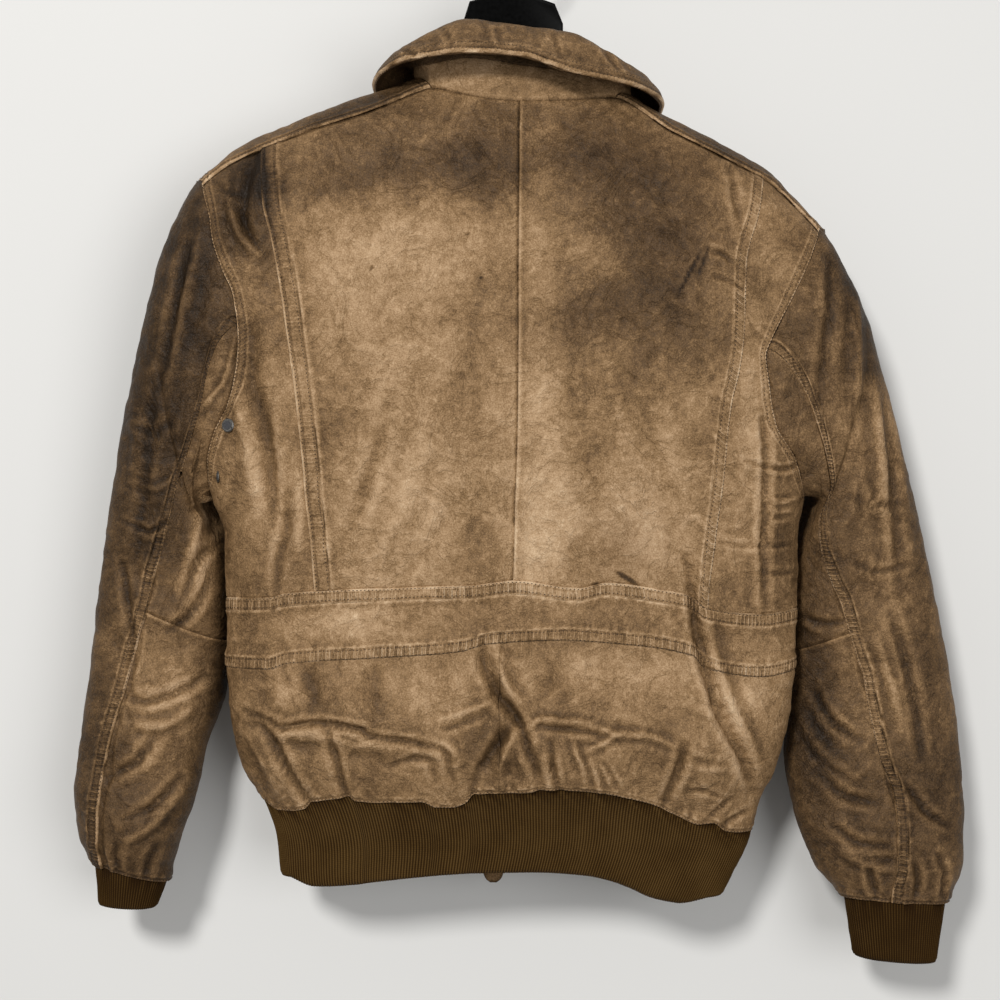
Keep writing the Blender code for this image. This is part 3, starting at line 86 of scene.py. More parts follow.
# Height, left edge, right edge, depth of the back, depth of the front.
TORSO = (
    (-838, -194, 174, 36, 30), (-814, -198, 186, 38, 31), (-790, -200, 197, 40, 32),
    (-755, -211, 207, 48, 35), (-730, -228, 219, 59, 42), (-704, -236, 227, 65, 46),
    (-671, -241, 234, 62, 46), (-637, -243, 237, 55, 43), (-586, -243, 238, 53, 42),
    (-530, -244, 239, 55, 42), (-505, -253, 243, 56, 42), (-480, -260, 246, 57, 42),
    (-440, -272, 256, 58, 42), (-371, -285, 270, 57, 41), (-320, -295, 284, 54, 40),
    (-280, -305, 298, 50, 38), (-235, -315, 308, 44, 35), (-150, -325, 318, 36, 31),
)
# Across, height of the shoulders' top line.
RIDGE = (
    (-275, -238), (-262, -226), (-248, -214), (-223, -197), (-204, -189), (-182, -180), (-140, -163),
    (-97, -150), (-71, -141), (0, -126), (70, -140), (100, -160), (119, -172), (153, -188), (184, -205),
    (214, -223), (239, -248), (262, -274), (278, -292),
)
print("torso rows:", len(TORSO))

# %% [markdown]
# ### Where the seams run
#
# The back has a centre seam, two long seams beside the pleats and a set-in half belt. These lines are the
# garment's drawing, so they are given as points, in the order in which they would be chalked on the leather.

# %% Lines of the seams
# Across, height. The hem's line is scalloped, because the leather puffs out over the tight knitted band.
HEM_LINE = (
    (-216, -750), (-207, -755), (-197, -761), (-186, -761), (-174, -758), (-168, -752), (-151, -749),
    (-136, -746), (-132, -749), (-107, -751), (-77, -750), (-64, -755), (-52, -755), (-41, -751), (-33, -743),
    (4, -742), (17, -740), (32, -739), (68, -742), (90, -746), (112, -752), (134, -763), (153, -771),
    (164, -770), (176, -778), (191, -780), (205, -781),
)
BELT_FOOT = (
    (-243, -639), (-203, -639), (-188, -634), (-120, -629), (-44, -623), (-21, -617), (34, -614), (98, -618),
    (146, -627), (158, -637), (176, -642), (207, -645), (238, -640),
)
BELT_HEAD = (
    (-243, -586), (-203, -585), (-188, -581), (-98, -576), (-37, -574), (0, -570), (53, -576), (75, -572),
    (121, -578), (144, -583), (157, -593), (207, -599), (238, -595),
)
ARMHOLE_FOOT = ((-253.0, -505.0), (243.0, -500.0))
TOP_LINE = (
    (-262, -239), (-250, -227), (-230, -217), (-211, -208), (-181, -196), (-129, -180), (-96, -167),
    (-70, -157), (-46, -162), (-21, -167), (4, -169), (38, -168), (71, -166), (85, -165), (130, -193),
    (162, -209), (195, -226), (212, -235), (234, -255), (255, -277),
)
BACK_LINES = (HEM_LINE, BELT_FOOT, BELT_HEAD, ARMHOLE_FOOT, TOP_LINE)
# Height, across, of the seams that run up the back.
LEFT_PLEAT = (
    (-770, -170), (-640, -165), (-581, -163), (-543, -166), (-502, -170), (-461, -174), (-420, -179),
    (-378, -185), (-337, -191), (-288, -200), (-255, -208), (-208, -211),
)
CENTRE_BACK = ((-770, -13), (-633, -13), (-612, -8), (-570, -2), (-502, 0), (-436, 2), (-256, 3), (-169, 4))
RIGHT_PLEAT = (
    (-790, 160), (-592, 157), (-535, 163), (-485, 170), (-420, 178), (-396, 184), (-368, 188), (-306, 190),
    (-290, 193), (-265, 201), (-232, 207),
)
# Height, across, of the back edge of each armhole above its foot.
LEFT_ARMHOLE = (
    (-505, -253), (-493, -257), (-472, -257), (-455, -253), (-438, -246), (-423, -238), (-409, -232),
    (-373, -228.5), (-332, -233.5), (-312, -242), (-286, -251), (-266, -254), (-239, -262),
)
RIGHT_ARMHOLE = (
    (-500, 243), (-472, 236), (-439, 216), (-406, 210), (-383, 207), (-369, 212), (-349, 222), (-324, 234.6),
    (-300, 246), (-277, 255),
)
FRONT_ARMHOLE_CUT = 9.0     # how much further in the front edge of an armhole lies at its middle

# The places of the neck's two corners, as parts of the way from one seam to the next.
LEFT_NECK = 1.0 + (-70.0 + 211.0) / (4.0 + 211.0)
RIGHT_NECK = 2.0 + (85.0 - 4.0) / (207.0 - 4.0)

# Part of the way over the shoulder, edge at the armhole, edge at the neck. The rest of the armhole's edge at
# the start comes from the front.
LEFT_OVER = ((0.18, -42.0), (0.38, -66.0), (0.70, -84.0), (1.00, -70.0))
RIGHT_OVER = ((0.18, 46.0), (0.38, 76.0), (0.70, 99.0), (1.00, 85.0))
TIP_AT_RIDGE = {"left": -268.0, "right": 262.0}

# Heights of the front's lines at its middle, from the hem up to the armhole's foot.
FRONT_MIDDLE = (-752.0, -637.0, -583.0, -500.0)
# Broad folds: start across and up, end across and up, width, depth out of the cloth.
BACK_FOLDS = (
    (150, -592, 200, -742, 26, -5), (128, -640, 168, -745, 24, 4), (-10, -655, -22, -735, 24, -6),
    (30, -660, 44, -735, 26, 4), (-205, -690, -60, -724, 24, -4), (-200, -662, -70, -690, 26, 3),
    (-222, -420, -188, -520, 22, -4), (206, -400, 232, -480, 22, -4), (-120, -470, -60, -560, 40, 2.5),
    (60, -430, 120, -540, 45, -2.5),
)
FRONT_FOLDS = (
    (-205, -420, -150, -520, 26, -5), (200, -430, 150, -540, 26, -5), (-190, -640, -60, -712, 26, -4),
    (185, -650, 70, -720, 26, -4), (-120, -300, -80, -470, 38, 3), (110, -320, 80, -480, 38, 3),
)
print("lines across the back:", len(BACK_LINES))

# %% Sizes of the hem's band, the sleeves and the collar
RIB_FOOT_BACK = (
    (-198, -818), (-177, -824), (-124, -819), (-79, -814), (-35, -811), (17, -810), (69, -813), (91, -817),
    (113, -824), (133, -832), (150, -836), (164, -838), (185, -835),
)
RIB_FOOT_FRONT = ((-198.0, -818.0), (-95.0, -819.0), (0.0, -816.0), (95.0, -822.0), (185.0, -835.0))

# Sleeves: part of the way down, outer edge across and up, inner edge across and up, middle forward, depth of
# the back, depth of the front, angle of the back seam and of the front seam from the outer edge, and how far
# the front leans towards the torso for each millimetre forward.
LEFT_SLEEVE = (
    (0, -268, -228, -257, -503, -2, 40, 37, 78, 84, 0),
    (0.06, -284, -247, -266, -505, 3, 40, 37, 100, 86, 0.08),
    (0.1, -292, -270, -265, -510, 6.5, 40.5, 37.5, 128, 88, 0.14),
    (0.14, -299, -294, -264, -516, 10, 41, 38, 126, 90, 0.2),
    (0.24, -315, -362, -252, -538, 17, 41, 38, 110, 92, 0.28),
    (0.34, -330, -432, -244, -564, 20, 41, 38, 100, 95, 0.3),
    (0.44, -342, -500, -242, -592, 22, 40, 37, 94, 98, 0.3),
    (0.55, -352, -574, -243, -624, 22, 40, 36, 88, 100, 0.28),
    (0.66, -361, -645, -250, -668, 20, 40, 36, 80, 102, 0.22),
    (0.77, -369, -705, -264, -712, 15, 39, 35, 70, 104, 0.1),
    (0.86, -374, -750, -272, -752, 10, 38, 34, 66, 104, 0.05),
    (0.94, -370, -786, -284, -790, 8, 34, 31, 60, 104, 0), (1, -358, -809, -294, -826, 8, 24, 23, 52, 104, 0),
)
RIGHT_SLEEVE = (
    (0, 262, -267, 247, -498, -2, 40, 37, 80, 84, 0), (0.06, 278, -296, 256, -501, 3, 40, 37, 104, 86, 0.08),
    (0.1, 287, -316, 255, -506, 7, 40.5, 37.5, 122, 88, 0.13),
    (0.14, 295, -338, 254, -512, 11, 41, 38, 132, 90, 0.18),
    (0.24, 311, -390, 244, -534, 18, 41, 37, 138, 92, 0.22),
    (0.34, 327, -450, 238, -562, 21, 40, 36, 130, 95, 0.22),
    (0.44, 343, -510, 236, -594, 23, 38, 34, 118, 98, 0.2),
    (0.55, 359, -582, 236, -632, 24, 36, 33, 106, 100, 0.18),
    (0.66, 373, -650, 235, -680, 24, 35, 32, 98, 104, 0.16),
    (0.77, 381, -712, 232, -724, 20, 34, 31, 90, 108, 0.08),
    (0.86, 384, -764, 240, -768, 15, 33, 30, 84, 108, 0),
    (0.94, 383, -808, 256, -812, 11, 30, 28, 88, 104, 0), (1, 369, -844, 279, -838, 9, 23, 22, 96, 100, 0),
)
SLEEVE_POWER = 2.3      # how squarely a sleeve's section turns
ARMHOLE_BLEND = 0.16    # part of the sleeve over which it takes its own section from the armhole's
STATION_BLEND = 0.40    # part of the sleeve over which its places even out round the ring
UNDERARM_PUSH = 7.0     # how far the under side of a sleeve stands off the torso just below the armhole
ELBOW = {"left": 0.548, "right": 0.550}
BACK_SEAM = 5.0 / 9.0   # place of its back seam on the armhole: 0 at the foot, 1 at the shoulder seam
FRONT_SEAM = 2.4        # place of its front seam: 2 where the front leaves the shoulder, 3 at the foot
SLEEVE_FOLDS = (
    (0.16, 0.22, 60, 150, 0.03, -4), (0.3, 0.36, 40, 140, 0.035, 3), (0.52, 0.47, 30, 130, 0.03, -4),
    (0.6, 0.66, 50, 160, 0.03, -4), (0.8, 0.84, 20, 150, 0.03, -3.5), (0.48, 0.52, 210, 330, 0.03, -4),
    (0.63, 0.6, 220, 320, 0.03, -4), (0.82, 0.8, 200, 320, 0.03, -3.5),
)

# Cuffs: outer edge across and up, inner edge across and up, middle forward, depth of the back, depth of the
# front and lean of their foot.
CUFF_FOOT = {
    "left": (-354, -845, -305, -848, 8, 20, 19, 0),
    "right": (359, -894, 289, -889, 8, 21, 20, 0),
}

# Collar sections round the neck, from the middle of the front on the left to the middle of the front on the
# right: place round the neck, then across, forward and up of the stand's top, of the roll and of the edge.
COLLAR = (
    (0, -5, 40, -180, -8, 48, -168, -14, 58, -214), (0.1, -49, 35, -154, -54, 43, -144, -74, 57, -234),
    (0.2, -76, 18, -137, -85, 24, -131, -106, 41, -184), (0.3, -86, 1, -135, -97, 3, -130, -119, 5, -151),
    (0.4, -73, -26, -139, -77, -32, -123, -97, -46, -143),
    (0.45, -38, -30, -134, -40, -35, -107, -44, -62, -138), (0.5, 4, -31, -140, 4, -37, -112, 3, -64, -141),
    (0.55, 44, -30, -145, 46, -37, -119, 48, -64, -155), (0.6, 85, -27, -152, 88, -32, -142, 103, -45, -163),
    (0.7, 99, 2, -148, 106, 4, -147, 125, 4, -168), (0.8, 89, 20, -145, 96, 26, -141, 116, 41, -190),
    (0.9, 58, 34, -154, 64, 43, -146, 82, 57, -236), (1, 5, 40, -180, 8, 48, -168, 14, 58, -214),
)
ROLL_LIMITS = (0.22, 0.50)      # parts of the way down the leaf between which its roll lies
print("sleeve rings:", len(LEFT_SLEEVE), len(RIGHT_SLEEVE))

# %% [markdown]
# ### Curves, blends and a soft noise
#
# `smooth` draws a curve through a table that never overshoots its rows, which keeps seams calm. `noise` is a
# small value noise: random heights on a grid with a soft blend between them. It is the same on every run.

# %% Small mathematics
def smooth(points, x, column=1):
    """A smooth curve through a table's first column and another one, flat beyond both ends."""
    table = np.array(points, dtype=float)
    xs = table[:, 0]
    ys = table[:, column]
    step = np.diff(xs)
    slope = np.diff(ys) / step
    tangent = np.concatenate([slope[:1], np.zeros(len(xs) - 2), slope[-1:]])
    for i in range(1, len(xs) - 1):
        if slope[i - 1] * slope[i] > 0.0:
            before = 2.0 * step[i] + step[i - 1]
            after = step[i] + 2.0 * step[i - 1]
            tangent[i] = (before + after) / (before / slope[i - 1] + after / slope[i])
    x = np.clip(x, xs[0], xs[-1])
    i = np.clip(np.searchsorted(xs, x, side="right") - 1, 0, len(step) - 1)
    t = (x - xs[i]) / step[i]
    start = (1.0 + 2.0 * t) * (1.0 - t) ** 2 * ys[i] + t * (1.0 - t) ** 2 * step[i] * tangent[i]
    end = t * t * (3.0 - 2.0 * t) * ys[i + 1] + t * t * (t - 1.0) * step[i] * tangent[i + 1]
    return start + end


def lerp(a, b, t):
    return a + (b - a) * t


def ramp(t):
    t = np.clip(t, 0.0, 1.0)
    return t * t * (3.0 - 2.0 * t)


def unit(vectors):
    return vectors / np.maximum(np.linalg.norm(vectors, axis=-1, keepdims=True), 1e-9)


def noise(x, y, seed=0.0):
    """A soft noise from -1 to 1."""
    column = np.floor(x)
    row = np.floor(y)

    def height(i, j):
        value = np.sin(i * 127.1 + j * 311.7 + seed * 74.7) * 43758.5453
        return 2.0 * (value - np.floor(value)) - 1.0

    across = ramp(x - column)
    up = ramp(y - row)
    low = lerp(height(column, row), height(column + 1.0, row), across)
    high = lerp(height(column, row + 1.0), height(column + 1.0, row + 1.0), across)
    return lerp(low, high, up)


print("noise at a half:", round(float(noise(np.array(0.5), np.array(0.5))), 3))

# %% [markdown]
# ### From the tables to a surface
#
# The torso's section is a rounded box. A point on the back is found from two numbers: u runs across it from
# seam to seam, and v runs up it from line to line. The fronts use the same form and then wrap over the
# shoulder to the shoulder seam, which lies on the back of this jacket.

# %% The torso's form
def across_form(x, z):
    """Where x lies across the form at a height, from -1 at its left edge to 1 at its right edge."""
    left = smooth(TORSO, z, 1)
    right = smooth(TORSO, z, 2)
    return np.clip((2.0 * x - left - right) / (right - left), -1.0, 1.0)


def side_fill(x, z):
    return (1.0 - np.abs(across_form(x, z)) ** SIDE_POWER) ** (1.0 / SIDE_POWER)


def turn(x, z):
    """The angle round the form's section, from 0 at its left edge to 180 degrees at its right edge."""
    place = across_form(x, z)
    return np.arccos(-np.sign(place) * np.abs(place) ** (SIDE_POWER / 2.0))


def at_turn(angle, z):
    left = smooth(TORSO, z, 1)
    right = smooth(TORSO, z, 2)
    cosine = np.cos(angle)
    place = -np.sign(cosine) * np.abs(cosine) ** (2.0 / SIDE_POWER)
    return (left + right) / 2.0 + place * (right - left) / 2.0


def roll_angle(x, z):
    """The angle down from the shoulder's top line: 0 on it, 90 degrees at and below the roll's foot."""
    rise = (z - smooth(RIDGE, x) + ROLL) / ROLL
    return np.arccos(np.clip(rise, 0.0, 1.0))


def folds(table, x, z):
    """Broad soft folds, each fading out at both ends."""
    total = np.zeros_like(x)
    for x0, z0, x1, z1, width, depth in table:
        length2 = (x1 - x0) ** 2 + (z1 - z0) ** 2
        along = ((x - x0) * (x1 - x0) + (z - z0) * (z1 - z0)) / length2
        near = np.clip(along, 0.0, 1.0)
        away2 = (x - lerp(x0, x1, near)) ** 2 + (z - lerp(z0, z1, near)) ** 2
        fade = np.sin(np.pi * np.clip(0.1 + 0.8 * along, 0.0, 1.0))
        total += depth * fade * np.exp(-away2 / (2.0 * (width / 2.0) ** 2))
    return total


print("turn at the middle:", round(float(np.degrees(turn(np.array(0.0), np.array(-600.0)))), 1))

# %% The back's surface
def back_edge(side, z):
    """Across, of the back's outer edge: the form's own up to the armhole's foot, then the armhole's."""
    column, armhole = (1, LEFT_ARMHOLE) if side == "left" else (2, RIGHT_ARMHOLE)
    return np.where(z < armhole[0][0], smooth(TORSO, z, column), smooth(armhole, z))


def front_edge(side, z):
    armhole = LEFT_ARMHOLE if side == "left" else RIGHT_ARMHOLE
    inwards = 1.0 if side == "left" else -1.0
    part = np.clip((z - armhole[0][0]) / (armhole[-1][0] - armhole[0][0]), 0.0, 1.0)
    return back_edge(side, z) + inwards * FRONT_ARMHOLE_CUT * np.sin(np.pi * part)


def back_across(u, z):
    """Across, at a height, of a line that runs up the back. The seams are at 0, 1, 2, 3 and 4."""
    pleat = (smooth(LEFT_PLEAT, z), smooth(RIGHT_PLEAT, z))
    centre = smooth(CENTRE_BACK, z)
    left = at_turn(lerp(turn(back_edge("left", z), z), turn(pleat[0], z), np.clip(u, 0.0, 1.0)), z)
    right = at_turn(lerp(turn(pleat[1], z), turn(back_edge("right", z), z), np.clip(u - 3.0, 0.0, 1.0)), z)
    middle = np.where(u < 2.0, lerp(pleat[0], centre, u - 1.0), lerp(centre, pleat[1], u - 2.0))
    return np.where(u <= 1.0, left, np.where(u >= 3.0, right, middle))


def back_line(u, line):
    """Height at which a line up the back meets a line across it."""
    z = np.full_like(u, line[0][1])
    for _ in range(SEARCH_STEPS):
        z = lerp(z, smooth(line, back_across(u, z)), 0.6)
    return z


def back_sheet(u, v):
    """Points of the back, at lines up it (u) and across it (v), both numbered at the seams."""
    heights = np.stack([back_line(u, line) for line in BACK_LINES])
    low = np.clip(np.floor(v).astype(int), 0, len(BACK_LINES) - 2)
    rows, columns = np.indices(u.shape)
    z = lerp(heights[low, rows, columns], heights[low + 1, rows, columns], v - low)
    x = back_across(u, z)
    y = -smooth(TORSO, z, 3) * side_fill(x, z) * np.sin(roll_angle(x, z))
    y -= folds(BACK_FOLDS, x, z) * side_fill(x, z)
    return np.stack([x, y, z], axis=-1)


print("one point of the back:", np.round(back_sheet(np.array([[2.0]]), np.array([[2.5]]))[0, 0], 1))

# %% The fronts' surface
def front_across(side, s, z):
    """Across, at a height, of a line up a front: s is 0 at the side or armhole and 1 at the zip."""
    middle = -ZIP_HALF if side == "left" else ZIP_HALF
    return at_turn(lerp(turn(front_edge(side, z), z), turn(middle, z), s), z)


def roll_foot(side, s):
    """Height at which a line up a front begins to roll over the shoulder."""
    z = np.full_like(s, -300.0)
    for _ in range(SEARCH_STEPS):
        z = lerp(z, smooth(RIDGE, front_across(side, s, z)) - ROLL, 0.6)
    return z


def over_edge(start, ridge, end, over):
    """The armhole's edge across, on the way over the shoulder from the front."""
    rising = lerp(start, ridge, np.sin(np.pi / 2.0 * np.clip(over / 0.7, 0.0, 1.0)))
    return np.where(over < 0.7, rising, lerp(ridge, end, ramp((over - 0.7) / 0.3)))


def front_sheet(side, s, v, corner, neck_corner):
    """Points of one front: s from the side or armhole to the zip or neck, v up it and over the shoulder.

    corner and neck_corner are the ends of the shoulder seam, and s is measured along that seam.
    """
    edge_u = np.full_like(s, 0.0 if side == "left" else 4.0)
    levels = []
    for line, middle in zip(BACK_LINES, FRONT_MIDDLE):
        levels.append(lerp(back_line(edge_u, line), middle, ramp(s)))
    levels.append(roll_foot(side, s))
    heights = np.stack(levels)
    low = np.clip(np.floor(v).astype(int), 0, 3)
    rows, columns = np.indices(s.shape)
    z = lerp(heights[low, rows, columns], heights[low + 1, rows, columns], np.clip(v, 0.0, 4.0) - low)
    x = front_across(side, s, z)
    y = smooth(TORSO, z, 4) * side_fill(x, z) * np.sin(roll_angle(x, z))
    y += folds(FRONT_FOLDS, x, z) * side_fill(x, z)
    return np.where((v > 4.0)[..., None], over_shoulder(side, s, v, corner, neck_corner),
                    np.stack([x, y, z], axis=-1))


def over_shoulder(side, s, v, corner, neck_corner):
    """The top of a front, from where it begins to roll over the shoulder to the shoulder seam on the back."""
    over = np.clip(v - 4.0, 0.0, 1.0)
    zip_edge = -ZIP_HALF if side == "left" else ZIP_HALF
    foot_x = front_across(side, s, roll_foot(side, s))
    none = np.zeros_like(s)
    foot_edge = front_across(side, none, roll_foot(side, none))
    start = (foot_x - foot_edge) / (zip_edge - foot_edge)
    outer_x = over_edge(foot_edge, TIP_AT_RIDGE[side], corner[0], over)
    neck = ((0.0, zip_edge),) + (LEFT_OVER if side == "left" else RIGHT_OVER)
    inner_x = smooth(neck, over)
    seam_x = lerp(corner[0], neck_corner[0], s)
    angle = lerp(np.pi / 2.0, -roll_angle(seam_x, smooth(TOP_LINE, seam_x)), over)
    x = lerp(outer_x, inner_x, lerp(start, s, over))
    z = smooth(RIDGE, x) - ROLL * (1.0 - np.cos(angle))
    depth = np.where(angle > 0.0, smooth(TORSO, z, 4), smooth(TORSO, z, 3))
    return np.stack([x, depth * side_fill(x, z) * np.sin(angle), z], axis=-1)


def on_back(u, v):
    return back_sheet(np.atleast_2d(u), np.atleast_2d(v))[0]


SEAM_ENDS = {
    "left": (on_back(0.0, 4.0)[0], on_back(LEFT_NECK, 4.0)[0]),
    "right": (on_back(4.0, 4.0)[0], on_back(RIGHT_NECK, 4.0)[0]),
}


def front(side, s, v):
    """The surface of one front, on a grid of places across and up it."""
    return front_sheet(side, s, v, *SEAM_ENDS[side])


print("left shoulder seam from", np.round(SEAM_ENDS["left"][0]), "to", np.round(SEAM_ENDS["left"][1]))

# %% [markdown]
# ### Sleeves
#
# A sleeve starts as the armhole's own edge and changes, over its first few centimetres, into a flattened
# ring. Every ring keeps the armhole's places round it, so the seams of the sleeve run on from the armhole.

# %% The sleeves' surface
def armhole(side, marks):
    """Points round an armhole: 0 to 1 up the back edge, 1 to 2 over the shoulder, 2 to 3 down the front."""
    points = np.zeros((len(marks), 3))
    behind = marks <= 1.0
    edge = np.full((1, behind.sum()), 0.0 if side == "left" else 4.0)
    points[behind] = back_sheet(edge, 3.0 + marks[behind][None])[0]
    points[~behind] = front(side, np.zeros((1, (~behind).sum())), 6.0 - marks[~behind][None])[0]
    return points


def armhole_angles(side, marks):
    """Two angles round the ring for each mark, one by length along the edge and one by height."""
    dense = np.concatenate([np.linspace(0.0, 1.0, 60), np.linspace(1.0, 3.0, 100)[1:]])
    loop = armhole(side, dense)
    along = np.concatenate([[0.0], np.cumsum(np.linalg.norm(np.diff(loop, axis=0), axis=1))])
    tip = int(np.argmax(loop[:, 2]))
    behind = np.arange(len(loop)) <= tip
    by_length = np.where(behind, 180.0 * (1.0 - along / along[tip]),
                         -180.0 * (along - along[tip]) / (along[-1] - along[tip]))
    place = 2.0 * (loop[:, 2] - loop[0, 2]) / (loop[tip, 2] - loop[0, 2]) - 1.0
    cosine = np.sign(place) * np.abs(place) ** (SLEEVE_POWER / 2.0)
    by_height = np.degrees(np.arccos(np.clip(cosine, -1.0, 1.0)))
    by_height = np.where(behind, by_height, -by_height)
    return np.interp(marks, dense, by_length), np.interp(marks, dense, by_height)


def tube_points(angle, outer, inner, forward, deep_back, deep_front, lean):
    """A flattened ring between its two edges, at angles from the outer edge by way of the back."""
    turned = np.radians(angle)
    cosine = np.cos(turned)
    sine = np.sin(turned)
    place = np.sign(cosine) * np.abs(cosine) ** (2.0 / SLEEVE_POWER)
    rise = np.abs(sine) ** (2.0 / SLEEVE_POWER)
    x = (outer[0] + inner[0]) / 2.0 + place * (outer[0] - inner[0]) / 2.0
    z = (outer[1] + inner[1]) / 2.0 + place * (outer[1] - inner[1]) / 2.0
    y = forward + np.where(sine > 0.0, -deep_back, deep_front) * rise
    x += np.sign(inner[0] - outer[0]) * lean * (y - forward)
    return np.stack([x, y, z], axis=-1)


def sleeve_relief(part, angle):
    """How far the sleeve's folds stand out at one ring."""
    total = np.zeros_like(angle)
    round_angle = np.mod(angle, 360.0)
    for start, end, first, last, width, depth in SLEEVE_FOLDS:
        along = (round_angle - first) / (last - first)
        line = lerp(start, end, along)
        fade = np.sin(np.pi * np.clip(along, 0.0, 1.0))
        total += depth * fade * np.exp(-((part - line) / width) ** 2)
    return total


def sleeve_sheet(side, marks, parts):
    """A grid of a sleeve: its rows are parts of the way down and its columns are marks round the armhole."""
    table = LEFT_SLEEVE if side == "left" else RIGHT_SLEEVE
    loop = armhole(side, marks)
    wanted = np.concatenate([marks, [BACK_SEAM, FRONT_SEAM]])
    by_length, by_height = armhole_angles(side, wanted)
    rows = []
    for part in parts:
        numbers = [smooth(table, part, column) for column in range(1, 11)]
        ox, oz, ix, iz, forward, deep_back, deep_front, turn_back, turn_front, lean = numbers
        natural = lerp(by_height, by_length, ramp(part / STATION_BLEND))
        angle = np.interp(natural[:-2], (-180.0, natural[-1], 0.0, natural[-2], 180.0),
                          (-180.0, -turn_front, 0.0, turn_back, 180.0))
        tube = tube_points(angle, (ox, oz), (ix, iz), forward, deep_back, deep_front, lean)
        tube += sleeve_relief(part, angle)[:, None] * unit(tube - tube.mean(axis=0))
        own = ramp(part / ARMHOLE_BLEND)
        ring = lerp(loop, tube, own)
        under = ((1.0 - np.cos(np.radians(angle))) / 2.0) ** 2
        ring[:, 0] += np.sign(ox - ix) * UNDERARM_PUSH * 4.0 * own * (1.0 - own) * under
        rows.append(ring)
    return np.stack(rows)


print("left armhole's foot:", np.round(armhole("left", np.array([0.0]))[0]))
